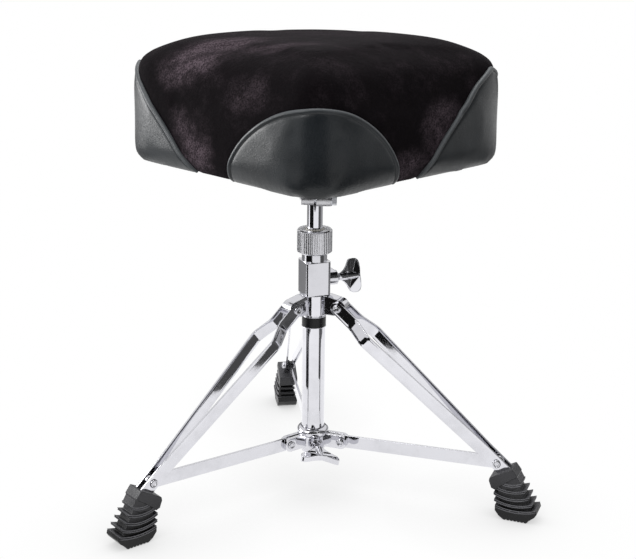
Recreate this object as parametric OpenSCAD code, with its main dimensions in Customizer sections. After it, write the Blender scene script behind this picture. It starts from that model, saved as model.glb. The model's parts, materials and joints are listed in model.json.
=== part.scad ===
// Drum throne: a padded saddle seat on a height-adjustable post, carried by a
// folding tripod with double legs and single braces. Millimetres, +Z up. The
// origin is on the floor under the tube's axis, and the seat's nose points to -Y.
// The tripod is drawn open and standing, the post at its everyday height.

/* [Column] */
// Outside diameter of the main tube
tube_d = 28.6; // [27:0.1:31]
// Wall of the main tube
tube_wall = 1.5; // [1.2:0.1:2]
// Height of the main tube's lower end above the floor
tube_foot_z = 44; // [38:1:48]
// How far the main tube ends below the top of the lock block
tube_stop = 5; // [3:0.5:8]
// Diameter of the seat post
post_d = 19.05; // [18:0.05:20]
// Wall of the seat post
post_wall = 2.2; // [1.6:0.1:4]
// Length of the seat post
post_len = 276; // [250:1:300]
// Length of the nylon guide bush in the tube
bush_len = 56; // [45:1:62]

/* [Lock block and clamp nut] */
// Side of the square lock block
block_side = 32; // [31.5:0.5:36]
// Corner radius of the lock block
block_corner_r = 4; // [2:0.5:6]
// Height of the lock block
block_h = 41.6; // [38:0.2:46]
// Azimuth of the face that the height bolt goes into
block_turn = 21.5; // [10:0.5:35]
// Diameter of the round neck above the block
neck_d = 31; // [29:0.5:31.5]
// Height of the neck
neck_h = 10.1; // [8:0.1:13]
// Diameter of the threaded spigot inside the nut
spigot_d = 27; // [26:0.1:28]
// Height of the threaded spigot
spigot_h = 18; // [14:1:20]
// Diameter of the knurled clamp nut
nut_d = 42.8; // [38:0.2:46]
// Height of the knurled clamp nut
nut_h = 29.3; // [27:0.1:34]
// Edge chamfer of the clamp nut
nut_edge = 1.6; // [0.8:0.1:2.4]
// Number of knurl grooves round the nut
nut_grooves = 48; // [24:4:60]
// Outside diameter of the split collet at its base
collet_d = 26; // [24.5:0.1:26.6]

/* [Wing bolts] */
// Shank diameter of both wing bolts
bolt_d = 8; // [6:0.5:9]
// Height of the height bolt above the lock block's underside
bolt_rise = 17; // [15:0.5:24]
// Depth of the slider's bolt below the slider's pivots
slider_bolt_drop = 3; // [0:0.5:4]
// Diameter of the bosses that the bolts screw into
boss_d = 18; // [15:0.5:19]
// Distance of the bosses' outer faces from the tube's axis
boss_out = 28.5; // [27.5:0.5:31]
// Bare shank between a boss and the wings
wing_stand = 2.5; // [1.5:0.5:4]
// Overall width across the two wings
wing_span = 42.6; // [36:0.2:46]
// Length of the wings' head along the bolt
wing_len = 31; // [28:1:33]
// Radius of the round lobes of the wings
lobe_r = 7; // [5:0.5:8]
// Thickness of the wings
wing_t = 5.6; // [4:0.2:7]
// Diameter of the hub that carries the wings
wing_hub_d = 11.6; // [10:0.2:13]
// Turn of the height bolt's wings about the bolt
height_wing_turn = 74; // [0:1:90]
// Turn of the slider's bolt towards the right leg, from midway between the front legs
slider_bolt_skew = 2; // [0:0.5:6]
// Turn of the slider bolt's wings about the bolt
slider_wing_turn = -10; // [-30:1:30]

/* [Leg hub] */
// Outside diameter of the leg hub's sleeve
hub_d = 35; // [33:0.5:38]
// Height of the leg hub's sleeve
hub_h = 25.2; // [24:0.2:28]
// How far the sleeve reaches below the hub pivots
hub_drop = 11.4; // [10.5:0.1:13]
// Thickness of each hub tongue, between the two strips of a leg
tongue_t = 16; // [13:0.5:17]
// How far a tongue stands out round the strips' ends
tongue_rim = 2; // [0.5:0.1:2.2]
// Distance of the hub pivots from the tube's axis
hub_pivot_r = 33.5; // [32.5:0.5:36]
// Height of the hub pivots
hub_pivot_z = 238.2; // [234:0.2:242]

/* [Slider] */
// Distance of the slider's pivots from the tube's axis
slider_pivot_r = 39.3; // [38:0.1:42]
// Height of the slider's pivots
slider_pivot_z = 61.6; // [59:0.2:64]
// How far the barrel reaches below the slider's pivots
barrel_drop = 11.6; // [9.6:0.2:13.6]
// Outside diameter of the slider's barrel
barrel_d = 34.6; // [33.6:0.2:36]
// Thickness of one slider ear
ear_t = 5; // [4:0.5:6]
// Radius of the rounded end of an ear
ear_r = 8.5; // [7.5:0.5:9]
// Outside diameter of the slider's rounded top ring
ring_d = 40.6; // [38:0.2:43]
// Height of the ring's top above the slider's pivots
ring_rise = 15.4; // [14:0.2:17]
// Height of the ring
ring_h = 11; // [9:0.5:12]

/* [Legs and braces] */
// Azimuth of the rear leg, the others follow at 120 degree steps
tripod_turn = 98.8; // [80:0.2:120]
// Distance of the foot pivots from the tube's axis
foot_pivot_r = 239; // [225:1:250]
// Height of the foot pivots
foot_pivot_z = 68; // [66:0.5:74]
// Width of a leg strip
strip_w = 16; // [14:0.5:17]
// Thickness of a leg strip
strip_t = 2.5; // [2:0.1:3]
// Length of the parallel stretch next to the hub
strip_top_len = 28; // [22:1:32]
// Distance along the leg at which the strips are widest apart
strip_wide_at = 51; // [44:1:60]
// Offset of the strips from the leg's middle where they are widest apart
strip_wide = 19.5; // [15:0.5:21]
// Stretch before the foot pivot on which the strips run parallel again
strip_foot_len = 20; // [15:1:26]
// Offset of the strips from the leg's middle at the foot
strip_foot = 5; // [4.4:0.1:6]
// Length of the strips beyond the foot pivot, down into the boot
strip_end = 20; // [18:1:21]
// Height of a brace bar
brace_h = 16; // [14:0.5:18]
// Thickness of a brace bar
brace_t = 3; // [2:0.1:3.4]
// Diameter of the pivot rivets
rivet_d = 6; // [5:0.5:7]
// Diameter of the rivet heads
rivet_head_d = 10.4; // [9:0.2:12]
// Height of the rivet heads
rivet_head_h = 2.6; // [2:0.1:3.4]
// Diameter of the spacer washers beside the braces at the feet
spacer_d = 12; // [10:0.5:14]

/* [Boots] */
// Width of a boot's top block
boot_top_w = 24; // [21:0.5:26]
// Width across a boot's lowest rib
boot_base_w = 29; // [26:0.5:32]
// Length of the flat contact patch under a boot
boot_flat = 22; // [16:1:26]
// How far the contact patch starts outside the foot pivot
boot_flat_out = 16; // [12:1:20]
// Step in from the tread's sides to the flat contact patch
boot_bevel = 2.5; // [1:0.5:4]
// How far the ribs stand out of the boot's sides
boot_rib = 1.8; // [1:0.1:2.6]
// Thickness of a boot rib
boot_rib_t = 2.8; // [2:0.1:3.6]
// Number of ribs between the top block and the tread
boot_ribs = 4; // [3:1:5]
// Gap between a brace's end and the boot below it
boot_gap = 1.2; // [0.4:0.1:1.5]

/* [Seat] */
// Height of the seat's underside above the floor
seat_z = 412; // [408:1:425]
// Half of the seat's width
seat_half_w = 220; // [200:1:230]
// Distance from the post's axis to the nose
seat_nose = 185; // [175:1:200]
// Distance from the post's axis to the rear edge
seat_rear = 155; // [145:1:170]
// Distance of the widest place behind the post's axis
seat_wide_y = 45; // [30:1:55]
// Front half-axis of the oval that rounds the widest place
seat_swell = 110; // [80:1:120]
// Radius of the nose in plan
nose_r = 40; // [32:1:55]
// Height of the upright side walls of the cushion
wall_h = 105; // [90:1:115]
// How far the side walls lean in at their top
wall_lean = 3; // [1:0.5:5]
// How far the nose leans back at the top of its wall
nose_lean = 7; // [4:0.5:10]
// Height of the crown above the side walls
crown_h = 41; // [34:1:48]
// How far the crown's flat top is drawn in from the sides
crown_side = 170; // [150:1:180]
// How far the crown's flat top is drawn in from the nose
crown_nose = 100; // [90:1:110]
// How far the crown's flat top is drawn in from the rear
crown_rear = 57; // [45:1:65]
// Fullness of the crown, 2 for an oval and more for squarer shoulders
crown_bow = 2.5; // [2:0.05:3]
// Radius of the cushion's lower edge
hem_r = 8; // [5:1:14]
// Thickness of the plywood seat board
board_t = 14; // [10:0.5:18]
// How far the board stays inside the cushion's outline
board_inset = 18; // [15:0.5:25]
// Thickness of the dust cover under the board
dust_t = 0.8; // [0.5:0.1:1.5]

/* [Seat mount] */
// Height of the mount, from the seat's underside to its lower end
mount_h = 46; // [42:1:50]
// Side of the mount's square plate
plate_side = 118; // [108:1:130]
// Thickness of the mount's plate
plate_t = 4.5; // [3.5:0.5:6]
// Outside diameter of the mount's socket
socket_d = 37; // [34:0.5:40]
// How far the post goes into the socket
post_socket = 30; // [24:1:34]
// Width of the pinch slot in front of the socket
pinch_gap = 3; // [2:0.5:4]
// Diameter of the lug that carries the clamp bolt's head
lug_d = 17; // [15:0.5:19]
// Diameter of the lug that the clamp bolt screws into
thread_lug_d = 14; // [12:0.5:16]
// Diameter of the clamp bolt in the lugs
clamp_d = 8; // [6:0.5:8]
// Distance between two neighbouring mount screws
screw_pitch = 92; // [80:1:96]
// Diameter of the mount screws
screw_d = 6; // [5:0.5:6.5]

/* [Band] */
// Height of the plain band round the tube
band_h = 14; // [8:0.5:16]
// Thickness of the plain band
band_t = 0.6; // [0.4:0.1:1]
// Gap between the leg hub and the band
band_drop = 3; // [1:0.5:8]

/* [Fits] */
// Radial clearance of pieces that slide or turn on each other
run_gap = 0.06; // [0.03:0.01:0.1]
// Radial clearance of pieces that are fixed to each other
snug_gap = 0.02; // [0.01:0.01:0.04]
// Clearance on each side of a piece that turns between two others
side_gap = 0.15; // [0.1:0.05:0.25]
// Gap between a clamp bolt's tip and what it presses on
tip_gap = 0.2; // [0.1:0.05:0.4]

/* [Hidden] */

$fn = 72;
// Cutters reach this far past the faces they cut
over = 1;
// The three legs, by name
REAR = "rear";
LEFT = "left";
RIGHT = "right";

tube_r = tube_d / 2;
tube_bore = tube_d - 2 * tube_wall;
post_r = post_d / 2;
post_hole = post_d + 2 * run_gap;
rivet_hole = rivet_d + 2 * snug_gap;
rivet_eye = rivet_d + 2 * run_gap;

// Heights up the column
hub_z0 = hub_pivot_z - hub_drop;
block_z0 = hub_z0 + hub_h;
block_z1 = block_z0 + block_h;
neck_z1 = block_z1 + neck_h;
spigot_z1 = neck_z1 + spigot_h;
nut_z1 = neck_z1 + nut_h;
tube_z1 = block_z1 - tube_stop;
bush_z0 = tube_z1 - bush_len;
height_bolt_z = block_z0 + bolt_rise;
mount_z0 = seat_z - mount_h;
plate_z0 = seat_z - plate_t;
post_z1 = mount_z0 + post_socket;
post_z0 = post_z1 - post_len;
band_z0 = hub_z0 - band_drop - band_h;

// The slider and its bolt
barrel_z0 = slider_pivot_z - barrel_drop;
ring_z1 = slider_pivot_z + ring_rise;
ring_z0 = ring_z1 - ring_h;
slider_bolt_z = slider_pivot_z - slider_bolt_drop;
slider_bolt_turn = tripod_turn + 180 + slider_bolt_skew;
ear_y = brace_t / 2 + side_gap + ear_t / 2;

// A leg runs from its hub pivot out and down to its foot pivot
leg_run = foot_pivot_r - hub_pivot_r;
leg_fall = hub_pivot_z - foot_pivot_z;
leg_len = norm([leg_run, leg_fall]);
leg_pitch = atan2(leg_fall, leg_run);
strip_top = tongue_t / 2 + side_gap + strip_t / 2;

// A brace runs from the slider's pivot out to the foot pivot
brace_run = foot_pivot_r - slider_pivot_r;
brace_rise = foot_pivot_z - slider_pivot_z;
brace_len = norm([brace_run, brace_rise]);
brace_pitch = atan2(brace_rise, brace_run);

// The boot's top block leans back against the leg
boot_lean = 22;
boot_top = brace_h / 2 + boot_gap;

// The clamp bolt crosses the lugs just in front of the post
clamp_y = -(post_r + clamp_d / 2 + 2);
clamp_z = mount_z0 + thread_lug_d / 2;
lug_x = socket_d / 2;
clamp_reach = lug_x - 5;
clamp_hex = clamp_d * 1.625;
clamp_head_h = clamp_d * 0.7;

// Board, dust cover and screws, from the seat's underside up
board_z0 = seat_z + dust_t;
board_z1 = board_z0 + board_t;
tee_flange_d = 3 * screw_d;
tee_flange_t = 1.4;
tee_barrel_d = screw_d + 2.6;
screw_head_d = 1.8 * screw_d;
screw_head_h = 0.6 * screw_d;

// A leg's azimuth
function leg_turn(leg) = tripod_turn + (leg == REAR ? 0 : leg == LEFT ? 120 : 240);

// Turns to a leg's own plane, in which x runs outward
module leg_plane(leg) {
    rotate([0, 0, leg_turn(leg)]) children();
}

// Places a leg's own frame, with x running down the leg from the hub pivot
module leg_frame(leg) {
    leg_plane(leg) translate([hub_pivot_r, 0, hub_pivot_z]) rotate([0, leg_pitch, 0]) children();
}

// Extrudes an outline of a leg's plane across it, by the given width
module across(width) {
    rotate([90, 0, 0]) linear_extrude(width, center = true) children();
}

// A round bar across a leg's plane
module cross_bar(d, width) {
    rotate([90, 0, 0]) cylinder(d = d, h = width, center = true);
}

// A round bar along x
module bar_x(d, x0, x1) {
    translate([x0, 0, 0]) rotate([0, 90, 0]) cylinder(d = d, h = x1 - x0);
}

// A bar's outline with round ends, from the origin to the given length
module bar_outline(length, width) {
    circle(d = width);
    translate([0, -width / 2]) square([length, width]);
    translate([length, 0]) circle(d = width);
}

// A hexagonal prism along x, by its width across flats
module hex_x(flats, x0, x1) {
    translate([x0, 0, 0]) rotate([0, 90, 0]) cylinder(d = flats / cos(30), h = x1 - x0, $fn = 6);
}

// Turns x along the height bolt
module height_bolt_place() {
    rotate([0, 0, block_turn]) translate([0, 0, height_bolt_z]) children();
}

// Turns x along the slider's bolt
module slider_bolt_place() {
    rotate([0, 0, slider_bolt_turn]) translate([0, 0, slider_bolt_z]) children();
}

// A domed rivet head on the plane z = 0
module rivet_head() {
    edge = rivet_head_h * 0.35;
    dome = rivet_head_h - edge;
    half = rivet_head_d / 2;
    ball = (half * half + dome * dome) / (2 * dome);
    cylinder(d = rivet_head_d, h = edge);
    translate([0, 0, edge]) rotate_extrude() intersection() {
        translate([0, dome - ball]) circle(r = ball, $fn = 120);
        square([half, dome]);
    }
}

// A rivet head on the outer side of a leg's plane, at the given offset
module side_head(side, offset_y) {
    translate([0, side * offset_y, 0]) rotate([-90 * side, 0, 0]) rivet_head();
}

// ---- Column ----

module main_tube() {
    color("silver") difference() {
        translate([0, 0, tube_foot_z]) cylinder(d = tube_d, h = tube_z1 - tube_foot_z);
        translate([0, 0, tube_foot_z - over]) cylinder(d = tube_bore, h = tube_z1 - tube_foot_z + 2 * over);
        height_bolt_place() bar_x(bolt_d + 2 * run_gap, 0, boss_out);
    }
}

module guide_bush() {
    color("ivory") difference() {
        translate([0, 0, bush_z0]) cylinder(d = tube_bore - 2 * snug_gap, h = bush_len);
        translate([0, 0, bush_z0 - over]) cylinder(d = post_hole, h = bush_len + 2 * over);
        height_bolt_place() bar_x(bolt_d + 2 * run_gap, 0, boss_out);
    }
}

module plain_band() {
    color([0.1, 0.1, 0.11]) translate([0, 0, band_z0]) difference() {
        cylinder(d = tube_d + 2 * snug_gap + 2 * band_t, h = band_h);
        translate([0, 0, -over]) cylinder(d = tube_d + 2 * snug_gap, h = band_h + 2 * over);
    }
}

// A square bar with round corners
module square_bar(side, corner, height) {
    inner = side - 2 * corner;
    translate([-side / 2, -inner / 2, 0]) cube([side, inner, height]);
    translate([-inner / 2, -side / 2, 0]) cube([inner, side, height]);
    for (x = [-1, 1], y = [-1, 1])
        translate([x * inner / 2, y * inner / 2, 0]) cylinder(r = corner, h = height);
}

// The boss for the height bolt, with the gusset that runs up the face above it
module block_boss() {
    foot = block_side / 2 - over;
    gusset_z = boss_d / 2 + 8;
    translate([0, 0, height_bolt_z]) {
        bar_x(boss_d, foot, boss_out);
        across(boss_d / 2) polygon([
            [foot, 0],
            [boss_out, 0],
            [boss_out, boss_d / 2 - 1],
            [foot + over, gusset_z],
            [foot, gusset_z]]);
    }
}

module lock_block() {
    color("silver") difference() {
        union() {
            rotate([0, 0, block_turn]) {
                translate([0, 0, block_z0]) square_bar(block_side, block_corner_r, block_h);
                block_boss();
            }
            translate([0, 0, block_z1]) cylinder(d = neck_d, h = neck_h);
            translate([0, 0, neck_z1]) cylinder(d = spigot_d, h = spigot_h);
        }
        translate([0, 0, block_z0 - over])
            cylinder(d = tube_d + 2 * snug_gap, h = tube_z1 - block_z0 + over);
        cylinder(d = post_hole, h = spigot_z1 + over);
        height_bolt_place() bar_x(bolt_d + 2 * run_gap, 0, boss_out + over);
    }
}

// The collet's outside narrows towards the top, where the nut squeezes it
collet_z0 = spigot_z1 + 0.2;
collet_z1 = nut_z1 + 0.8;
collet_top_d = collet_d - 3;

module collet() {
    color("ivory") difference() {
        rotate_extrude() polygon([[post_hole / 2, collet_z0], [collet_d / 2, collet_z0],
            [collet_top_d / 2, collet_z1], [post_hole / 2, collet_z1]]);
        rotate([0, 0, block_turn]) translate([0, -1, collet_z0 - over])
            cube([collet_d, 2, collet_z1 - collet_z0 + 2 * over]);
    }
}

module clamp_nut() {
    seat_gap = 0.2;
    groove_r = 0.9;
    color("silver") difference() {
        rotate_extrude() polygon([
            [spigot_d / 2 + run_gap, neck_z1 + seat_gap],
            [nut_d / 2 - nut_edge, neck_z1 + seat_gap],
            [nut_d / 2, neck_z1 + seat_gap + nut_edge],
            [nut_d / 2, nut_z1 - nut_edge],
            [nut_d / 2 - nut_edge, nut_z1],
            [collet_top_d / 2 + 0.3, nut_z1],
            [collet_d / 2 + 0.3, collet_z0],
            [spigot_d / 2 + run_gap, collet_z0]]);
        for (i = [0 : nut_grooves - 1])
            rotate([0, 0, 360 * i / nut_grooves]) translate([nut_d / 2 + groove_r / 2, 0, neck_z1])
                cylinder(r = groove_r, h = nut_h + over, $fn = 16);
    }
}

// ---- Wing bolts ----

// The flat outline of the wings, x along the bolt
module wing_outline() {
    far = wing_len - lobe_r;
    out = wing_span / 2 - lobe_r;
    for (side = [-1, 1]) {
        translate([far, side * out]) circle(r = lobe_r);
        polygon([[2, 0], [wing_len - 3, 0], [far + lobe_r, side * out], [far - lobe_r, side * out],
            [far - lobe_r - 3, side * wing_hub_d / 2], [2, side * wing_hub_d / 3]]);
    }
}

// A wing bolt along x, its tip the given distance from the tube's axis
module wing_bolt(tip) {
    head = boss_out + wing_stand;
    bar_x(bolt_d, tip, head + over);
    bar_x(wing_hub_d * 0.8, head, head + 3);
    bar_x(wing_hub_d, head + 2, head + wing_len - 3);
    translate([head, 0, 0]) linear_extrude(wing_t, center = true) wing_outline();
}

module height_wing_bolt() {
    color([0.85, 0.85, 0.87]) height_bolt_place() rotate([height_wing_turn, 0, 0])
        wing_bolt(post_r + tip_gap);
}

module slider_wing_bolt() {
    color([0.85, 0.85, 0.87]) slider_bolt_place() rotate([slider_wing_turn, 0, 0])
        wing_bolt(tube_r + tip_gap);
}

// ---- Leg hub and slider ----

// One tongue of the leg hub, rounded about its pivot and level with the sleeve's top
module hub_tongue() {
    tongue_r = strip_w / 2 + tongue_rim;
    root_r = tube_r + 2;
    top_z = block_z0 - 0.5;
    across(tongue_t) {
        translate([hub_pivot_r, hub_pivot_z]) circle(r = tongue_r);
        polygon([
            [root_r, hub_pivot_z - tongue_r],
            [hub_pivot_r, hub_pivot_z - tongue_r],
            [hub_pivot_r + tongue_r * sin(leg_pitch), hub_pivot_z + tongue_r * cos(leg_pitch)],
            [hub_pivot_r - 1, hub_pivot_z + tongue_r + 0.4],
            [hub_d / 2 + 2, top_z],
            [root_r, top_z]]);
    }
}

module leg_hub() {
    color("silver") difference() {
        union() {
            translate([0, 0, hub_z0]) cylinder(d = hub_d, h = hub_h);
            for (leg = [REAR, LEFT, RIGHT]) leg_plane(leg) hub_tongue();
        }
        translate([0, 0, hub_z0 - over]) cylinder(d = tube_d + 2 * snug_gap, h = hub_h + 2 * over);
        for (leg = [REAR, LEFT, RIGHT]) leg_plane(leg)
            translate([hub_pivot_r, 0, hub_pivot_z]) cross_bar(rivet_hole, tongue_t + 2 * over);
    }
}

// The pivot pins in the tongues: the ends that ride in the strips are with the rivet heads
module hub_pins() {
    color("silver") for (leg = [REAR, LEFT, RIGHT]) leg_plane(leg)
        translate([hub_pivot_r, 0, hub_pivot_z]) cross_bar(rivet_d, tongue_t);
}

// A round-shouldered ring with a funnel that leads on to the tube
module slider_ring() {
    belly = ring_d / 2 - ring_h / 2;
    rotate_extrude() {
        polygon([[tube_r - 1, ring_z0 - 2], [barrel_d / 2, ring_z0 - 2], [belly, ring_z0],
            [belly, ring_z1 - 1.5], [belly - 1.5, ring_z1], [tube_r - 1, ring_z1 - 3]]);
        translate([belly, ring_z0 + ring_h / 2]) intersection() {
            circle(r = ring_h / 2);
            translate([0, -ring_h / 2]) square([ring_h, ring_h]);
        }
    }
}

// The pair of ears that holds one brace
module slider_ears() {
    for (side = [-1, 1]) translate([0, side * ear_y, 0]) across(ear_t) {
        translate([slider_pivot_r, slider_pivot_z]) circle(r = ear_r);
        translate([tube_r + 1, slider_pivot_z - ear_r]) square([slider_pivot_r - tube_r - 1, 2 * ear_r]);
    }
}

module slider_collar() {
    color([0.75, 0.75, 0.78]) difference() {
        union() {
            translate([0, 0, barrel_z0]) cylinder(d = barrel_d, h = ring_z0 - barrel_z0);
            slider_ring();
            for (leg = [REAR, LEFT, RIGHT]) leg_plane(leg) slider_ears();
            slider_bolt_place() bar_x(boss_d, tube_r + 1, boss_out);
        }
        translate([0, 0, barrel_z0 - over])
            cylinder(d = tube_d + 2 * run_gap, h = ring_z1 - barrel_z0 + 2 * over);
        for (leg = [REAR, LEFT, RIGHT]) leg_plane(leg)
            translate([slider_pivot_r, 0, slider_pivot_z]) cross_bar(rivet_hole, 2 * (ear_y + ear_t));
        slider_bolt_place() bar_x(bolt_d + 2 * run_gap, 0, boss_out + over);
    }
}

module slider_rivets() {
    outer = ear_y + ear_t / 2;
    color("silver") for (leg = [REAR, LEFT, RIGHT]) leg_plane(leg)
        translate([slider_pivot_r, 0, slider_pivot_z]) {
            cross_bar(rivet_d, 2 * outer);
            for (side = [-1, 1]) side_head(side, outer);
        }
}

// ---- Legs ----

module brace(leg) {
    color("silver") leg_plane(leg) translate([slider_pivot_r, 0, slider_pivot_z]) rotate([0, -brace_pitch, 0])
        difference() {
            across(brace_t) bar_outline(brace_len, brace_h);
            for (x = [0, brace_len]) translate([x, 0, 0]) cross_bar(rivet_eye, brace_t + 2 * over);
        }
}

// The bent middle line of a strip, as distance along the leg and offset from its middle
function strip_line() = [
    [-strip_w, strip_top],
    [strip_top_len, strip_top],
    [strip_wide_at, strip_wide],
    [leg_len - strip_foot_len, strip_foot],
    [leg_len + strip_end + strip_w, strip_foot]];

// A strip seen along its bends, grown on both faces by the given gap
module strip_plan(gap) {
    half = strip_t / 2 + gap;
    line = strip_line();
    last = len(line) - 1;
    polygon(concat(
        [for (p = line) [p.x, p.y - half]],
        [for (i = [last : -1 : 0]) [line[i].x, line[i].y + half]]));
}

// One strip of a leg in the leg's frame, grown all round by the given gap
module strip_solid(side, gap) {
    mirror([0, side < 0 ? 1 : 0, 0]) intersection() {
        linear_extrude(strip_w + 2 * gap, center = true) strip_plan(gap);
        across(2 * strip_wide + 4 * strip_t)
            bar_outline(leg_len + strip_end, strip_w + 2 * gap);
    }
}

module leg_strip(leg, side) {
    color("silver") leg_frame(leg) difference() {
        strip_solid(side, 0);
        for (x = [0, leg_len]) translate([x, 0, 0]) cross_bar(rivet_hole, 2 * (strip_top + strip_t));
    }
}

// The stub and head in each strip at the hub, and the through rivet at the foot
module leg_rivets(leg) {
    hub_face = strip_top + strip_t / 2;
    foot_face = strip_foot + strip_t / 2;
    color("silver") leg_frame(leg) {
        for (side = [-1, 1]) {
            translate([0, side * strip_top, 0]) cross_bar(rivet_d, strip_t);
            side_head(side, hub_face);
        }
        translate([leg_len, 0, 0]) {
            cross_bar(rivet_d, 2 * foot_face);
            for (side = [-1, 1]) side_head(side, foot_face);
        }
    }
}

// The washers that centre a brace between the two strips at the foot
module leg_spacers(leg) {
    inner = brace_t / 2 + side_gap;
    outer = strip_foot - strip_t / 2;
    color("dimgray") leg_frame(leg) translate([leg_len, 0, 0]) difference() {
        for (side = [-1, 1]) translate([0, side * (inner + outer) / 2, 0]) cross_bar(spacer_d, outer - inner);
        cross_bar(rivet_hole, 2 * outer + 2 * over);
    }
}

// ---- Boots ----

// The block at the top of a boot, leaning back under the foot pivot
module boot_block() {
    translate([foot_pivot_r, foot_pivot_z]) rotate(boot_lean) polygon([
        [-6.6, -boot_top], [17.3, -boot_top], [19.1, -boot_top - 10.4], [13, -boot_top - 20],
        [-9, -boot_top - 24], [-16, -boot_top - 18.3], [-14.9, -boot_top - 6.3]]);
}

boot_sole_r0 = foot_pivot_r + boot_flat_out;
boot_sole_r1 = boot_sole_r0 + boot_flat;

// Both ends of a rib, from 0 at the top block to 1 at the tread
function rib_inner(t) = [foot_pivot_r - 0.5 + 4.2 * t, lerp(foot_pivot_z - 40, 7, t)];
function rib_outer(t) = [lerp(foot_pivot_r + 31, boot_sole_r1 + 8, t), lerp(foot_pivot_z - 22, 21, t)];
function lerp(a, b, t) = a + (b - a) * t;

// A flat rib from its inner to its outer edge
module rib_outline(t) {
    a = rib_inner(t);
    b = rib_outer(t);
    translate(a) rotate(atan2(b.y - a.y, b.x - a.x)) square([norm(b - a), boot_rib_t]);
}

// The core between the top block and the tread, inside the ribs
module core_outline() {
    polygon([rib_inner(0) + [4, 8], rib_inner(1) + [4, 0], rib_outer(1) + [-5, -8], rib_outer(1) + [-5, 0],
        rib_outer(0) + [-5, 4], rib_outer(0) + [-14, 10]]);
}

// The tread, rockered up at both ends, its underside raised by the given height
module tread_outline(raise) {
    polygon([
        rib_inner(1) + [0, 2],
        rib_inner(1) + [0, -1],
        [boot_sole_r0 - 6, 3 + raise],
        [boot_sole_r0, raise],
        [boot_sole_r1, raise],
        [boot_sole_r1 + 9, 4.5 + raise],
        [boot_sole_r1 + 14, 10],
        [boot_sole_r1 + 13, 16],
        [boot_sole_r1 + 9, 17]]);
}

module boot(leg) {
    color([0.16, 0.16, 0.17]) difference() {
        leg_plane(leg) {
            across(boot_top_w) boot_block();
            across(boot_base_w - 2 * boot_rib) core_outline();
            for (i = [0 : boot_ribs - 1]) {
                t = i / (boot_ribs - 1);
                across(lerp(boot_top_w, boot_base_w, t)) rib_outline(t);
            }
            across(boot_base_w) tread_outline(boot_bevel);
            across(boot_base_w - 2 * boot_bevel) tread_outline(boot_bevel / 2);
            across(boot_base_w - 4 * boot_bevel) tread_outline(0);
        }
        leg_frame(leg) for (side = [-1, 1]) strip_solid(side, snug_gap);
    }
}

// ---- Seat post and mount ----

module seat_post() {
    color("silver") translate([0, 0, post_z0]) difference() {
        cylinder(d = post_d, h = post_len);
        translate([0, 0, -over]) cylinder(d = post_d - 2 * post_wall, h = post_len + 2 * over);
    }
}

// The lugs on both sides of the pinch slot, round about the clamp bolt
module mount_lugs() {
    thread_end = -lug_x + 2;
    translate([0, clamp_y, clamp_z]) {
        bar_x(lug_d, 0, lug_x);
        bar_x(thread_lug_d, thread_end, 0);
    }
    translate([0, clamp_y, clamp_z - lug_d / 2]) cube([lug_x, -clamp_y - post_r, lug_d]);
    translate([thread_end, clamp_y, mount_z0]) cube([-thread_end, -clamp_y, thread_lug_d]);
}

module seat_mount() {
    cone_h = 12;
    foot_h = 4;
    color([0.7, 0.7, 0.72]) difference() {
        union() {
            translate([0, 0, plate_z0]) square_plate();
            translate([0, 0, mount_z0]) cylinder(d1 = socket_d - 2 * foot_h, d2 = socket_d, h = foot_h);
            translate([0, 0, mount_z0 + foot_h]) cylinder(d = socket_d, h = plate_z0 - mount_z0 - foot_h);
            translate([0, 0, plate_z0 - cone_h]) cylinder(d1 = socket_d, d2 = socket_d + 24, h = cone_h);
            mount_lugs();
        }
        translate([0, 0, mount_z0 - over]) cylinder(d = post_hole, h = post_socket + over + 1);
        translate([0, 0, mount_z0]) cylinder(d = post_d - 2 * post_wall, h = mount_h + over);
        translate([-pinch_gap / 2, -socket_d, clamp_z - lug_d]) cube([pinch_gap, socket_d, 1.5 * lug_d + 3]);
        translate([0, clamp_y, clamp_z]) bar_x(clamp_d + 2 * snug_gap, -clamp_reach, lug_x + over);
        screw_places() translate([0, 0, plate_z0 - over])
            cylinder(d = screw_d + 2 * snug_gap, h = plate_t + 2 * over);
    }
}

// The mount's plate, with round corners about its screws
module square_plate() {
    square_bar(plate_side, (plate_side - screw_pitch) / 2, plate_t);
}

module screw_places() {
    for (x = [-1, 1], y = [-1, 1]) translate([x * screw_pitch / 2, y * screw_pitch / 2, 0]) children();
}

module mount_clamp_bolt() {
    washer_t = 1.6;
    color("gray") translate([0, clamp_y, clamp_z]) {
        bar_x(clamp_d, 1 - clamp_reach, lug_x + washer_t + clamp_head_h / 2);
        bar_x(clamp_hex + 3, lug_x, lug_x + washer_t);
        hex_x(clamp_hex, lug_x + washer_t, lug_x + washer_t + clamp_head_h);
    }
}

module mount_screws() {
    color("gray") screw_places() {
        translate([0, 0, plate_z0 - screw_head_h]) cylinder(d = screw_head_d, h = screw_head_h);
        translate([0, 0, plate_z0 - screw_head_h / 2]) cylinder(d = screw_d, h = board_z1 - plate_z0);
    }
}

module tee_nuts() {
    color("gray") screw_places() difference() {
        union() {
            translate([0, 0, board_z0 + 2]) cylinder(d = tee_barrel_d, h = board_t - 2);
            translate([0, 0, board_z1]) cylinder(d = tee_flange_d, h = tee_flange_t);
        }
        translate([0, 0, board_z0]) cylinder(d = screw_d + 2 * snug_gap, h = board_t + tee_flange_t + over);
    }
}

// ---- Seat ----

// The seat's outline: a round nose and an oval back, drawn in at the sides, nose and rear
module seat_plan(side_in, nose_in, rear_in) {
    r = max(nose_r - nose_in, 12);
    side = seat_half_w - side_in;
    rear = max(seat_rear - seat_wide_y - rear_in, 20);
    front = max(seat_swell - nose_in, 20);
    steps = 48;
    hull() {
        translate([0, -(seat_nose - nose_in - r)]) circle(r = r, $fn = steps / 2);
        polygon([for (i = [0 : steps - 1]) let (a = 360 * i / steps)
            [side * cos(a), seat_wide_y + (a < 180 ? rear : front) * sin(a)]]);
    }
}

// The outline drawn in evenly all round
module seat_inset(inset) {
    seat_plan(inset, inset, inset);
}

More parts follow.
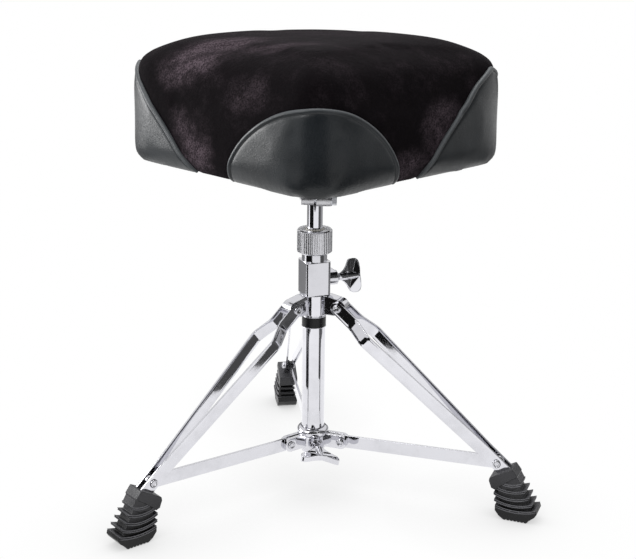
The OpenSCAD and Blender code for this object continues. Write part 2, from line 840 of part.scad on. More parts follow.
// A thin slice of the cushion at the given height
slice_t = 0.5;

module seat_slice(z, side_in, nose_in, rear_in) {
    translate([0, 0, z]) linear_extrude(slice_t) seat_plan(side_in, nose_in, rear_in);
}

// How much of its full draw the crown has at a share of its height
function crown_draw(t) = 1 - pow(1 - pow(t, crown_bow), 1 / crown_bow);

// Nearly upright walls with a rolled hem, and a domed crown that is highest towards the rear
module cushion_shape() {
    wall_z1 = seat_z + wall_h;
    steps = 7;
    hull() {
        seat_slice(seat_z, hem_r, hem_r, hem_r);
        seat_slice(seat_z + hem_r * 0.3, hem_r * 0.3, hem_r * 0.3, hem_r * 0.3);
        seat_slice(seat_z + hem_r, 0, 0, 0);
        seat_slice(wall_z1 - 2 * hem_r, wall_lean / 4, nose_lean / 4, wall_lean / 4);
        for (i = [0 : steps]) {
            t = sin(90 * i / steps);
            draw = crown_draw(t);
            seat_slice(
                wall_z1 + (crown_h - slice_t) * t,
                wall_lean + crown_side * draw,
                nose_lean + crown_nose * draw,
                wall_lean + crown_rear * draw);
        }
    }
}

module seat_cushion() {
    color([0.12, 0.11, 0.12]) difference() {
        cushion_shape();
        translate([0, 0, seat_z - over]) linear_extrude(dust_t + board_t + over + snug_gap)
            seat_inset(board_inset - snug_gap);
        screw_places() translate([0, 0, board_z1 - over])
            cylinder(d = tee_flange_d + 1, h = tee_flange_t + over + 0.5);
    }
}

module seat_board() {
    color("burlywood") difference() {
        translate([0, 0, board_z0]) linear_extrude(board_t) seat_inset(board_inset);
        screw_places() translate([0, 0, board_z0 - over])
            cylinder(d = tee_barrel_d + 2 * snug_gap, h = board_t + 2 * over);
    }
}

module dust_cover() {
    color([0.2, 0.2, 0.2]) difference() {
        translate([0, 0, seat_z]) linear_extrude(dust_t) seat_inset(board_inset);
        screw_places() translate([0, 0, seat_z - over])
            cylinder(d = screw_d + 2 * snug_gap, h = dust_t + 2 * over);
    }
}

main_tube();
guide_bush();
lock_block();
collet();
clamp_nut();
height_wing_bolt();
leg_hub();
hub_pins();
plain_band();
seat_post();
seat_mount();
mount_clamp_bolt();
mount_screws();
tee_nuts();
dust_cover();
seat_board();
seat_cushion();
slider_collar();
slider_rivets();
slider_wing_bolt();
brace(LEFT);  // brace_left
brace(RIGHT);  // brace_right
brace(REAR);  // brace_rear
leg_strip(LEFT, 1);  // leg_left_strip_a
leg_strip(RIGHT, 1);  // leg_right_strip_a
leg_strip(REAR, 1);  // leg_rear_strip_a
leg_strip(LEFT, -1);  // leg_left_strip_b
leg_strip(RIGHT, -1);  // leg_right_strip_b
leg_strip(REAR, -1);  // leg_rear_strip_b
leg_rivets(LEFT);  // leg_left_rivets
leg_rivets(RIGHT);  // leg_right_rivets
leg_rivets(REAR);  // leg_rear_rivets
leg_spacers(LEFT);  // leg_left_spacers
leg_spacers(RIGHT);  // leg_right_spacers
leg_spacers(REAR);  // leg_rear_spacers
boot(LEFT);  // boot_left
boot(RIGHT);  // boot_right
boot(REAR);  // boot_rear
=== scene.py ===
"""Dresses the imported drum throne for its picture. Lengths are in metres, in the CAD model's own frame."""

import bisect
import json
import math

import bpy
from bpy.props import FloatProperty, FloatVectorProperty, PointerProperty
from mathutils import Matrix, Vector
from mathutils.bvhtree import BVHTree
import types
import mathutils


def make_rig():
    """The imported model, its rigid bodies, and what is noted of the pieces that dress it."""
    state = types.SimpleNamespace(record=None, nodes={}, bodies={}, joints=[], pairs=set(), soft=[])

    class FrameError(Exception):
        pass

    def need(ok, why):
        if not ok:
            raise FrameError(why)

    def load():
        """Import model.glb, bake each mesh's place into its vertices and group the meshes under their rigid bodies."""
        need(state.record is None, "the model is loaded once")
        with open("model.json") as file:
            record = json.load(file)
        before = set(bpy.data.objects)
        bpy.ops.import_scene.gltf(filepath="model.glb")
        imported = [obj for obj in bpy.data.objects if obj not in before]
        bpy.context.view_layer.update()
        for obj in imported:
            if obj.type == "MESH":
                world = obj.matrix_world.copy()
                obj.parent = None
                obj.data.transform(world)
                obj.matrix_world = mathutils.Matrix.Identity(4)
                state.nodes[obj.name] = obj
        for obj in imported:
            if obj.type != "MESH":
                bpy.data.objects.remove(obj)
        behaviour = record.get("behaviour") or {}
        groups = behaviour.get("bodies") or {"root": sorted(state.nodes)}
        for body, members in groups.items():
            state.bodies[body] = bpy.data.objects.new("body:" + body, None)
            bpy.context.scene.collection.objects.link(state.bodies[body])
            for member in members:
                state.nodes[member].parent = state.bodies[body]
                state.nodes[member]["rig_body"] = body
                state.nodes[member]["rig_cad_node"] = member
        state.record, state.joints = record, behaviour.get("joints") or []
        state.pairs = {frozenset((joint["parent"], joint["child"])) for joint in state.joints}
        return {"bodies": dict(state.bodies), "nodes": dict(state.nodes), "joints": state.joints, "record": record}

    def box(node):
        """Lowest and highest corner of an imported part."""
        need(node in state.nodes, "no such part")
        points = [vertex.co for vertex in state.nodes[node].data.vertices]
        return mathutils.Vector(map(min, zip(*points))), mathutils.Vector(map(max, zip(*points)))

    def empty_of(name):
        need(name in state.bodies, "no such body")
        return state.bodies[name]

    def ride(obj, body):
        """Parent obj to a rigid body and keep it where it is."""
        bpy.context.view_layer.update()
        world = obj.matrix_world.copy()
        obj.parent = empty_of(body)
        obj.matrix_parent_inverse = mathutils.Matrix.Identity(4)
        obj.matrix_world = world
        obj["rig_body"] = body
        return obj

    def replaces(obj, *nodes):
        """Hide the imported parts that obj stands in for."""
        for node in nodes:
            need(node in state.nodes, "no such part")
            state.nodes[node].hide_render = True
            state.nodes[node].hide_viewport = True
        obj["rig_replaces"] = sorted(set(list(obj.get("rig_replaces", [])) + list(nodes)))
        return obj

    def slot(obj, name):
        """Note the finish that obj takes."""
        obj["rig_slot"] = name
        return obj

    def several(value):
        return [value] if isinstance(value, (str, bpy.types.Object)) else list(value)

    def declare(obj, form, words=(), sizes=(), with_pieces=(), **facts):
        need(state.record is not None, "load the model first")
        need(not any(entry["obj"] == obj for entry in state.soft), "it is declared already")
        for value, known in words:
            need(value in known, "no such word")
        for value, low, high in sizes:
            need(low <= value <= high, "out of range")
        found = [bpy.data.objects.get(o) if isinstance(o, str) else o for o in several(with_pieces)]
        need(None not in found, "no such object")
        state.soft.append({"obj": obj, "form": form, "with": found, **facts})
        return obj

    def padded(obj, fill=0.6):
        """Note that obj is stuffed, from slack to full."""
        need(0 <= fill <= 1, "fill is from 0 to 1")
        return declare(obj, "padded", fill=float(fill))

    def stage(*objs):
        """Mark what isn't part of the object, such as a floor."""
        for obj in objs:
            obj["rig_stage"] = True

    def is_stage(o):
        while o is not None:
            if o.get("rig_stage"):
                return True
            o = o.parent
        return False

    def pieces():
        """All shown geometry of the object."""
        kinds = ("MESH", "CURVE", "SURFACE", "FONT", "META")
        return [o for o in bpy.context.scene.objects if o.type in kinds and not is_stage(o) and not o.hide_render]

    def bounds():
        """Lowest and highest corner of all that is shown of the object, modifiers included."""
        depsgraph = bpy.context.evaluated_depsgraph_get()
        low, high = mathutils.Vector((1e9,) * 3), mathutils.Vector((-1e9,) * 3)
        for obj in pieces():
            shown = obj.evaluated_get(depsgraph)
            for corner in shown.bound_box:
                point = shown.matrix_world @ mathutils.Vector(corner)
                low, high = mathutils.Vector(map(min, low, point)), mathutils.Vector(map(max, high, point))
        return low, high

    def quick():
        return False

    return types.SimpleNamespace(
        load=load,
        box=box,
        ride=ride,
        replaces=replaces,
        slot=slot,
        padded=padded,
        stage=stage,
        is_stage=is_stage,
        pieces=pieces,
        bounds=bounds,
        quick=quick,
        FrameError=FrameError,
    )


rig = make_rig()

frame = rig.load()
CAD_BOX = [list(corner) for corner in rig.bounds()]

bl_info = {
    "name": "Drum throne",
    "version": (1, 0, 0),
    "blender": (4, 5, 0),
    "location": "3D View > Sidebar > Throne",
    "description": "Covers, castings, rubber feet, finishes and studio of a drum throne",
    "category": "Object",
}

MM = 0.001
MERGE = 1e-6
QUARTER = math.radians(90)
SHARP = math.radians(50)
ACROSS = Matrix.Rotation(QUARTER, 4, "X")
WHITE = (1, 1, 1)
FRAME_W = 636
FRAME_H = 559

# Places in the photograph's frame: what shows of the object at its four extremes, and features on it
IMAGE_POINTS = {
    "left_edge": (106, 533),
    "right_edge": (543.5, 508),
    "top_edge": (335, 29.5),
    "bottom_edge": (136, 546),
    "front_panel_top": (314, 109.5),
    "front_panel_left_foot": (233.2, 180.4),
    "front_panel_right_foot": (394.8, 182),
    "left_panel_seam": (164.8, 131.9),
    "right_panel_seam": (463.2, 114.5),
    "nut_top": (315.3, 224.5),
    "band": (315.2, 323.1),
    "hub_rivet_left": (298.8, 311.9),
    "hub_rivet_right": (335.3, 308.9),
    "slider_rivet_left": (292, 446.4),
    "slider_rivet_right": (338.6, 443.2),
    "foot_rivet_left": (155.5, 483.6),
    "foot_rivet_right": (494.8, 465.2),
    "height_wing": (349.3, 275),
}

LEGS = {"rear": 0, "left": 1, "right": 2}


def millimetres(name, description, default):
    return FloatProperty(name=name, description=description, default=default * MM, unit="LENGTH")


def degrees(name, description, default):
    return FloatProperty(name=name, description=description, default=math.radians(default), unit="ROTATION")


def colour(name, description, default):
    return FloatVectorProperty(name=name, description=description, default=default, subtype="COLOR", size=3)


class ThroneSeat(bpy.types.PropertyGroup):
    voxel: millimetres("Mesh step", "Step of the cushion's mesh before it is inflated", 6)
    undersize: millimetres("Undersize", "How much smaller the cushion starts before it is inflated", 1.6)
    pressure: FloatProperty(name="Pressure", description="Pressure that fills the cushion", default=4)
    swell: millimetres("Swell", "Furthest that a point of the cushion may swell", 2.6)
    vinyl: millimetres("Vinyl", "Thickness of the vinyl panels", 1.3)
    welt: millimetres("Rolled edge", "Width of the panels' rolled edge", 3.6)
    welt_rise: millimetres("Rolled edge height", "Height of the rolled edge above the velour", 2.2)
    stitch_inset: millimetres("Stitch line", "Distance of the stitching from a panel's edge", 4.9)
    stitch_pitch: millimetres("Stitch pitch", "Distance between two stitches", 4.2)
    velour: colour("Velour", "Colour of the velour where its pile lies away", (0.0036, 0.0027, 0.0034))
    # painted sheen: the lighter colour painted where the velour's brushed pile would catch the light
    nap_sheen: colour("Nap", "Colour of the velour where its pile is brushed up", (0.105, 0.08, 0.095))
    vinyl_colour: colour("Vinyl colour", "Colour of the vinyl panels", (0.0085, 0.0105, 0.0125))
    thread: colour("Thread", "Colour of the stitching", (0.06, 0.063, 0.068))


class ThroneStand(bpy.types.PropertyGroup):
    tripod_turn: degrees("Tripod turn", "Azimuth of the rear leg", 98.8)
    hub_pivot_r: millimetres("Hub pivot radius", "Distance of the hub pivots from the tube's axis", 33.5)
    hub_pivot_z: millimetres("Hub pivot height", "Height of the hub pivots", 238.2)
    foot_pivot_r: millimetres("Foot pivot radius", "Distance of the foot pivots from the tube's axis", 239)
    foot_pivot_z: millimetres("Foot pivot height", "Height of the foot pivots", 68)
    strip_w: millimetres("Strip width", "Width of a leg strip", 16)
    strip_t: millimetres("Strip thickness", "Thickness of a leg strip", 2.5)
    strip_edge: millimetres("Strip edge", "Radius of a strip's edges", 0.5)
    strip_top: millimetres("Strip offset at the hub", "Distance from the leg's middle at the hub", 9.4)
    strip_wide: millimetres("Strip offset at the bend", "Distance where the strips are widest apart", 19.5)
    strip_foot: millimetres("Strip offset at the foot", "Distance from the leg's middle at the foot", 5)
    rivet_r: millimetres("Rivet radius", "Radius of the pivot rivets", 3)
    slider_pivot_r: millimetres("Slider pivot radius", "Distance of its pivots from the tube's axis", 39.3)
    slider_pivot_z: millimetres("Slider pivot height", "Height of the slider's pivots", 61.6)
    ear_face: millimetres("Ear face", "Distance of the slider ears' outer faces from the leg's plane", 6.65)
    tube_r: millimetres("Tube radius", "Radius of the main tube", 14.3)
    post_r: millimetres("Post radius", "Radius of the seat post", 9.525)
    bolt_r: millimetres("Bolt radius", "Radius of both wing bolts' shanks", 4)
    wing_head: millimetres("Wing distance", "Distance of the wings' inner end from the tube's axis", 31)
    wing_t: millimetres("Wing thickness", "Thickness of the height bolt's wings", 4.4)
    slider_wing_t: millimetres("Slider wing thickness", "Thickness of the slider bolt's wings", 7)
    slider_wing_droop: degrees("Slider wing droop", "How far the slider bolt's wings sweep down", 15)
    wing_droop: degrees("Wing droop", "How far the wings sweep back from the barrel", 14)
    block_turn: degrees("Block turn", "Azimuth of the height bolt", 21.5)
    height_bolt_z: millimetres("Height bolt", "Height of the height bolt", 269)
    height_wing_turn: degrees("Height wings", "Turn of the height bolt's wings about the bolt", 74)
    slider_bolt_turn: degrees("Slider bolt turn", "Azimuth of the slider's bolt", 280.8)
    slider_bolt_z: millimetres("Slider bolt", "Height of the slider's bolt", 58.6)
    slider_wing_turn: degrees("Slider wings", "Turn of the slider bolt's wings about the bolt", -10)
    bend: millimetres("Bend", "Length on each side of a bend that is rounded", 4.6)
    chrome: colour("Chrome", "Colour of the chrome plate", (0.635, 0.635, 0.67))
    rubber: colour("Rubber", "Colour of the rubber boots", (0.026, 0.026, 0.028))


class ThroneStudio(bpy.types.PropertyGroup):
    lens: FloatProperty(name="Lens", description="Focal length in millimetres", default=72.6, unit="CAMERA")
    place: FloatVectorProperty(
        name="Camera place", description="Where the camera stands",
        default=(0, -1.50068, 0.72023), unit="LENGTH", size=3)
    pitch: degrees("Pitch", "How far the camera looks down", 16.746)
    yaw: degrees("Yaw", "How far the camera looks to the right", 0.1715)
    roll: degrees("Roll", "How far the camera leans", 0.63)
    floor: FloatProperty(name="Floor", description="Side of the floor", default=40, unit="LENGTH")
    floor_gap: millimetres("Floor gap", "Distance of the floor below the boots", 0.3)
    shade_reach: millimetres("Shadow reach", "Distance over which the contact shadow fades", 140)
    ambient: FloatProperty(name="Ambient", description="Brightness of the room's soft light", default=0.45)
    floor_shade: FloatProperty(name="Floor shade", description="White left in the darkest shadow", default=0.5)
    floor_glow: FloatProperty(name="Floor glow", description="White of the floor itself", default=0.85)


def settings():
    return bpy.context.scene.throne_seat, bpy.context.scene.throne_stand, bpy.context.scene.throne_studio


# ---- Modelling helpers ----


def take(obj):
    """Leaves obj alone selected and active, in object mode."""
    active = bpy.context.view_layer.objects.active
    if active and active.mode != "OBJECT":
        bpy.ops.object.mode_set(mode="OBJECT")
    bpy.ops.object.select_all(action="DESELECT")
    obj.select_set(True)
    bpy.context.view_layer.objects.active = obj
    return obj


def new_piece(name, verts, faces):
    mesh = bpy.data.meshes.new(name)
    mesh.from_pydata([tuple(v) for v in verts], [], faces)
    mesh.update()
    obj = bpy.data.objects.new(name, mesh)
    bpy.context.scene.collection.objects.link(obj)
    return take(obj)


def grid(rows, wide):
    """The faces between rows of vertices, each row that many vertices wide."""
    return [(i * wide + j, i * wide + j + 1, (i + 1) * wide + j + 1, (i + 1) * wide + j)
            for i in range(rows - 1) for j in range(wide - 1)]


def edit(obj, *steps):
    """Runs each step in edit mode on all of obj."""
    take(obj)
    bpy.ops.object.mode_set(mode="EDIT")
    for step in steps:
        bpy.ops.mesh.select_all(action="SELECT")
        step()
    bpy.ops.object.mode_set(mode="OBJECT")
    return obj


def outward():
    bpy.ops.mesh.normals_make_consistent(inside=False)


def merge():
    bpy.ops.mesh.remove_doubles(threshold=MERGE)


def modify(obj, kind, **values):
    """Adds a modifier to obj and applies it."""
    take(obj)
    modifier = obj.modifiers.new(kind.lower(), kind)
    for key, value in values.items():
        setattr(modifier, key, value)
    bpy.ops.object.modifier_apply(modifier=modifier.name)
    return obj


def settle(obj, turn=None):
    """Puts the piece's place into its mesh, turned by the given matrix first."""
    take(obj)
    if turn is not None:
        obj.matrix_world = turn @ obj.matrix_world
    bpy.ops.object.transform_apply(location=True, rotation=True, scale=True)
    return obj


def smooth(obj, angle=30):
    take(obj)
    bpy.ops.object.shade_smooth_by_angle(angle=math.radians(angle), keep_sharp_edges=False)
    return obj


def joined(name, objects):
    take(objects[0])
    for obj in objects[1:]:
        obj.select_set(True)
    if len(objects) > 1:
        bpy.ops.object.join()
    objects[0].name = name
    return objects[0]


def twin(obj, name):
    """A copy with its own mesh."""
    other = obj.copy()
    other.data = obj.data.copy()
    other.name = name
    bpy.context.scene.collection.objects.link(other)
    return other


def dress(obj, finish, body, slot, *nodes):
    """Gives a finished piece its finish, body and slot, and hides the CAD nodes that it stands for."""
    obj.data.materials.clear()
    obj.data.materials.append(FINISHES[finish])
    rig.ride(obj, body)
    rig.slot(obj, slot)
    if nodes:
        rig.replaces(obj, *nodes)
    return obj


def mark(obj, name, values):
    """Writes a value for each vertex, which a material reads."""
    obj.data.attributes.new(name, "FLOAT", "POINT").data.foreach_set("value", values)


def tree_of(obj):
    mesh = obj.data
    return BVHTree.FromPolygons([v.co for v in mesh.vertices], [p.vertices for p in mesh.polygons])


def prism(name, outline, width):
    """A plate across a leg's plane: an outline of (outward, up) points, extruded to both sides."""
    obj = new_piece(name, [(r, -width / 2, z) for r, z in outline], [list(range(len(outline)))])
    return edit(obj, lambda: bpy.ops.mesh.extrude_region_move(
        TRANSFORM_OT_translate={"value": (0, width, 0)}), outward)


def rounded(points, reach, steps=6):
    """A polyline with each inner corner rounded over the given reach on both sides."""
    line = [Vector(points[0])]
    for before, corner, after in zip(points, points[1:], points[2:]):
        corner = Vector(corner)
        a = corner + (Vector(before) - corner).normalized() * reach
        b = corner + (Vector(after) - corner).normalized() * reach
        for i in range(steps + 1):
            t = i / steps
            line.append(a.lerp(corner, t).lerp(corner.lerp(b, t), t))
    line.append(Vector(points[-1]))
    return line


# ---- Finishes ----

# Every finish by its own name, which is the record's slot for all but a few
FINISHES = {}


class Nodes:
    """A node tree that is put together one node at a time."""

    def __init__(self, owner):
        owner.use_nodes = True
        self.tree = owner.node_tree

    def set(self, node, key, value):
        if isinstance(value, bpy.types.NodeSocket):
            self.tree.links.new(value, node.inputs[key])
        else:
            socket = node.inputs[key]
            if socket.type == "RGBA" and len(value) == 3:
                value = (*value, 1)
            socket.default_value = value

    def add(self, kind, inputs=None, **values):
        node = self.tree.nodes.new(kind)
        for key, value in values.items():
            setattr(node, key, value)
        for key, value in (inputs or {}).items():
            self.set(node, key, value)
        return node

    def maths(self, operation, a, b=0.0):
        return self.add("ShaderNodeMath", {0: a, 1: b}, operation=operation).outputs[0]

    def pick(self, share, a, b):
        """One shader or the other."""
        return self.add("ShaderNodeMixShader", {0: share, 1: a, 2: b}).outputs[0]


class Finish(Nodes):
    """A piece's material: its shader, and patterns that follow the object's own coordinates."""

    def __init__(self, name, **sockets):
        FINISHES[name] = bpy.data.materials.new(name)
        super().__init__(FINISHES[name])
        self.shader = self.tree.nodes["Principled BSDF"]
        self.out(**sockets)
        self.place = self.add("ShaderNodeTexCoord").outputs["Object"]

    def out(self, **values):
        for key, value in values.items():
            self.set(self.shader, key.replace("_", " "), value)

    def noise(self, scale, detail=2.0, rough=0.5, place=None):
        return self.add("ShaderNodeTexNoise", {
            "Vector": place or self.place, "Scale": scale, "Detail": detail,
            "Roughness": rough}).outputs["Fac"]

    def cells(self, scale, feature="F1"):
        return self.add("ShaderNodeTexVoronoi", {"Vector": self.place, "Scale": scale},
                        feature=feature).outputs["Distance"]

    def ramp(self, value, low, high, to_low=0.0, to_high=1.0):
        return self.add("ShaderNodeMapRange", {
            "Value": value, "From Min": low, "From Max": high, "To Min": to_low, "To Max": to_high},
            interpolation_type="SMOOTHSTEP").outputs["Result"]

    def mix(self, factor, a, b):
        node = self.add("ShaderNodeMix", data_type="RGBA")
        for socket, value in zip((node.inputs[0], node.inputs[6], node.inputs[7]), (factor, a, b)):
            if isinstance(value, bpy.types.NodeSocket):
                self.tree.links.new(value, socket)
            elif socket.type == "RGBA":
                socket.default_value = (*value, 1)
            else:
                socket.default_value = value
        return node.outputs[2]

    def bump(self, height, distance, strength=1.0, normal=None):
        inputs = {"Height": height, "Distance": distance, "Strength": strength}
        if normal:
            inputs["Normal"] = normal
        return self.add("ShaderNodeBump", inputs).outputs["Normal"]

    def soft_edge(self, radius):
        return self.add("ShaderNodeBevel", {"Radius": radius}, samples=4).outputs["Normal"]


def toned(tint, share):
    """A colour made darker or lighter."""
    return [share * c for c in tint]


def chrome(name, tint, rough_low, rough_high, edge, ripple):
    """Chrome plate with faint smudges, a slight ripple and softened edges."""
    f = Finish(name, Metallic=1.0)
    smudge = f.noise(38, 4, 0.6)
    fine = f.noise(900, 2)
    wipe = f.mix(f.ramp(smudge, 0.42, 0.66), tint, toned(tint, 0.93))
    rough = f.maths("ADD", f.ramp(smudge, 0.35, 0.7, rough_low, rough_high), f.ramp(fine, 0.3, 0.9, 0, 0.02))
    normal = f.bump(f.noise(70, 2), ripple, 1.0, f.soft_edge(edge))
    f.out(Base_Color=wipe, Roughness=rough, Normal=normal)


def satin(name, tint, rough, grain, edge, bump):
    """A bare or zinc plated metal with a fine even grain."""
    f = Finish(name, Metallic=1.0)
    grit = f.noise(grain, 3, 0.6)
    stain = f.noise(60, 3)
    shade = f.mix(f.ramp(stain, 0.35, 0.7), tint, toned(tint, 0.86))
    normal = f.bump(grit, bump, 1.0, f.soft_edge(edge))
    f.out(Base_Color=shade, Roughness=f.ramp(grit, 0.3, 0.7, rough - 0.06, rough + 0.08), Normal=normal)


NUT_FLUTES = 96


def knurled(name, tint):
    """Satin aluminium with fine upright flutes round the nut, painted darker in their grooves as shade."""
    f = Finish(name, Metallic=1.0)
    parts = f.add("ShaderNodeSeparateXYZ", {0: f.place})
    turn = f.maths("ARCTAN2", parts.outputs["Y"], parts.outputs["X"])
    flute = f.maths("SINE", f.maths("MULTIPLY", turn, NUT_FLUTES))
    grit = f.noise(1400, 2)
    # painted shade: the flutes' grooves are painted darker than their crests
    shade = f.mix(f.ramp(flute, -1, 1), toned(tint, 0.88), tint)
    normal = f.bump(f.maths("ADD", f.maths("MULTIPLY", flute, 0.4), f.maths("MULTIPLY", grit, 0.08)),
                    0.00006, 1.0, f.soft_edge(0.0005))
    f.out(Base_Color=shade, Roughness=f.ramp(grit, 0.3, 0.7, 0.15, 0.19), Normal=normal)


def plastic(name, tint, rough, grain, bump, gloss=0.5):
    f = Finish(name, Specular_IOR_Level=gloss)
    grit = f.noise(grain, 3)
    shade = f.mix(f.ramp(f.noise(45, 3), 0.3, 0.7), tint, toned(tint, 0.85))
    f.out(Base_Color=shade, Roughness=f.ramp(grit, 0.3, 0.7, rough - 0.05, rough + 0.07),
                 Normal=f.bump(grit, bump, 1.0, f.soft_edge(0.0003)))


def rubber(tint):
    """Moulded rubber, lighter towards its top, with a fine pebble and scuffs, painted shade in its creases and a
    painted highlight on its ribs' rims.
    """
    f = Finish("boot_rubber", Specular_IOR_Level=0.25)
    height = f.add("ShaderNodeSeparateXYZ", {0: f.place}).outputs["Z"]
    bloom = f.noise(55, 4, 0.6)
    pebble = f.noise(1700, 2)
    scuff = f.ramp(f.noise(240, 3, 0.7), 0.62, 0.78)
    crease_shade_mask = f.add(
        "ShaderNodeAmbientOcclusion", {"Distance": 0.005}, samples=16, only_local=True).outputs["AO"]
    # darker towards the bottom and lighter towards the top, with some random tone
    height_tone = f.maths("ADD", f.ramp(height, 0.01, 0.062), f.ramp(bloom, 0.3, 0.7, -0.15, 0.15))
    shade = f.mix(height_tone, toned(tint, 0.35), toned(tint, 2.1))
    shade = f.mix(f.maths("MULTIPLY", scuff, 0.3), shade, toned(tint, 2.8))
    # painted shade: the rubber darkens to near black in its creases
    shade = f.mix(f.ramp(crease_shade_mask, 0.35, 0.85), toned(tint, 0.03), shade)
    rim = f.add("ShaderNodeAttribute", attribute_name="rim").outputs["Fac"]
    # painted highlight: the ribs' rims, which stand out of the solid, are painted lighter
    shade = f.mix(f.maths("MULTIPLY", f.ramp(rim, 0.3, 0.9), 0.85), shade, toned(tint, 6.5))
    f.out(Base_Color=shade, Roughness=f.ramp(bloom, 0.3, 0.7, 0.36, 0.5),
                 Normal=f.bump(pebble, 0.00006))


def plywood():
    f = Finish("plywood", Roughness=0.7)
    stretch = f.add("ShaderNodeMapping", {"Vector": f.place, "Scale": (3, 60, 900)}).outputs[0]
    grain = f.noise(1, 4, 0.6, stretch)
    shade = f.mix(f.ramp(grain, 0.35, 0.65), (0.42, 0.27, 0.14), (0.62, 0.45, 0.27))
    f.out(Base_Color=shade, Normal=f.bump(grain, 0.0002))


def felt():
    """The bonded cloth under the board, with its grid of small dents."""
    f = Finish("cover_fabric", Roughness=0.95, Specular_IOR_Level=0.2)
    dent = f.ramp(f.cells(420), 0.15, 0.45)
    fibre = f.noise(1500, 4, 0.7)
    shade = f.mix(f.ramp(fibre, 0.35, 0.65), (0.013, 0.013, 0.014), (0.032, 0.032, 0.034))
    f.out(Base_Color=shade, Normal=f.bump(f.maths("ADD", dent, fibre), 0.0003))


def crushed_velour(seat):
    """Black velour whose pile lies up in a few brushed patches, painted in a lighter colour as sheen."""
    f = Finish("cushion_velour", Roughness=0.85, Specular_IOR_Level=0.04, Sheen_Weight=0.03,
               Sheen_Roughness=0.3, Sheen_Tint=(0.62, 0.5, 0.6, 1))
    warp = f.add("ShaderNodeTexNoise", {"Vector": f.place, "Scale": 14, "Detail": 5, "Roughness": 0.62})
    shift = f.add("ShaderNodeVectorMath", {0: warp.outputs["Color"], 1: (0.5, 0.5, 0.5)},
                  operation="SUBTRACT")
    bent = f.add("ShaderNodeVectorMath", {0: shift.outputs[0], 1: (0.085, 0.06, 0.05), 2: f.place},
                 operation="MULTIPLY_ADD").outputs[0]
    brushed = None
    for place, reach, share in NAP_SHEEN_PATCHES:
        local = f.add("ShaderNodeMapping", {
            "Vector": bent, "Location": place, "Scale": reach}, vector_type="TEXTURE").outputs[0]
        ball = f.add("ShaderNodeTexGradient", {"Vector": local}, gradient_type="SPHERICAL").outputs["Fac"]
        patch = f.maths("MULTIPLY", f.ramp(ball, 0.0, 0.8), share)
        brushed = patch if brushed is None else f.maths("MAXIMUM", brushed, patch)
    streak = f.add("ShaderNodeMapping", {"Vector": f.place, "Scale": (26, 60, 60)}).outputs[0]
    clump = f.ramp(f.noise(1, 6, 0.75, streak), 0.36, 0.62, 0.3, 1.0)
    fleck = f.ramp(f.noise(480, 4, 0.8), 0.36, 0.66, 0.15, 1.5)
    stray = f.ramp(f.noise(26, 5, 0.7), 0.46, 0.78, 0.015, 0.15)
    # painted sheen: the brushed patches, clumps and stray flecks take the lighter nap colour
    painted_sheen = f.maths("MULTIPLY", f.maths("MAXIMUM", f.maths("MULTIPLY", brushed, clump), stray), fleck)
    pile = f.noise(1100, 3, 0.6)
    normal = f.bump(f.maths("ADD", pile, f.maths("MULTIPLY", f.noise(60, 4), 3.0)), 0.0006, 0.8)
    f.out(Base_Color=f.mix(painted_sheen, seat.velour, seat.nap_sheen), Normal=normal)


# Where the velour's pile is brushed up and painted with sheen: place, reach and strength of each patch
NAP_SHEEN_PATCHES = (
    ((-0.14, -0.03, 0.532), (0.085, 0.055, 0.04), 1.0),
    ((-0.11, -0.015, 0.548), (0.11, 0.04, 0.035), 0.85),
    ((-0.045, -0.06, 0.555), (0.08, 0.03, 0.03), 0.5),
    ((-0.06, -0.115, 0.512), (0.1, 0.035, 0.03), 0.34),
    ((-0.135, -0.065, 0.437), (0.035, 0.05, 0.045), 0.95),
    ((-0.155, -0.05, 0.465), (0.03, 0.03, 0.03), 0.6),
    ((0.105, -0.095, 0.43), (0.045, 0.05, 0.03), 0.8),
    ((0.15, -0.06, 0.462), (0.05, 0.05, 0.055), 0.5),
    ((0.05, 0.05, 0.565), (0.16, 0.06, 0.03), 0.14),
)


def grained_vinyl(seat):
    """Soft vinyl with a leather grain, a painted highlight on its rolled edges and slight slack."""
    f = Finish("cushion_vinyl", Specular_IOR_Level=0.34)
    edge = f.add("ShaderNodeAttribute", attribute_name="edge").outputs["Fac"]
    tone = f.noise(9, 3)
    grain = f.cells(820, "SMOOTH_F1")
    crease = f.noise(300, 4, 0.7)
    shade = f.mix(f.ramp(tone, 0.35, 0.65), seat.vinyl_colour, toned(seat.vinyl_colour, 1.7))
    # painted highlight: the rolled edges are painted lighter, where their curve would catch the light
    shade = f.mix(f.maths("MULTIPLY", f.ramp(edge, 0.35, 0.9), 0.8), shade, (0.1, 0.108, 0.115))
    rough = f.maths("ADD", f.ramp(tone, 0.3, 0.7, 0.3, 0.38), f.ramp(crease, 0.3, 0.7, -0.05, 0.06))
    height = f.maths("ADD", grain, f.maths("MULTIPLY", crease, 0.6))
    normal = f.bump(height, 0.00022, 0.6, f.bump(f.noise(17, 2), 0.004, 0.35))
    f.out(Base_Color=shade, Roughness=rough, Normal=normal)


def sewing_thread(seat):
    f = Finish("panel_thread", Roughness=0.6)
    twist = f.noise(2600, 2)
    shade = f.mix(f.ramp(twist, 0.3, 0.7), seat.thread, toned(seat.thread, 2.2))
    f.out(Base_Color=shade, Normal=f.bump(twist, 0.0001))


# The plated finishes: brightness, least and most roughness, then edge radius and ripple in metres
PLATED = {
    "tube_chrome": (1, 0.02, 0.05, 0.0003, 0.00002),
    "cast_chrome": (1, 0.05, 0.1, 0.0011, 0.00012),
    "block_chrome": (0.86, 0.05, 0.1, 0.0011, 0.00012),
    "wing_chrome": (1, 0.04, 0.08, 0.0006, 0.00008),
    "strip_chrome": (1, 0.03, 0.07, 0.0004, 0.00004),
    "rivet_steel": (0.85, 0.08, 0.16, 0.0003, 0.00005),
}


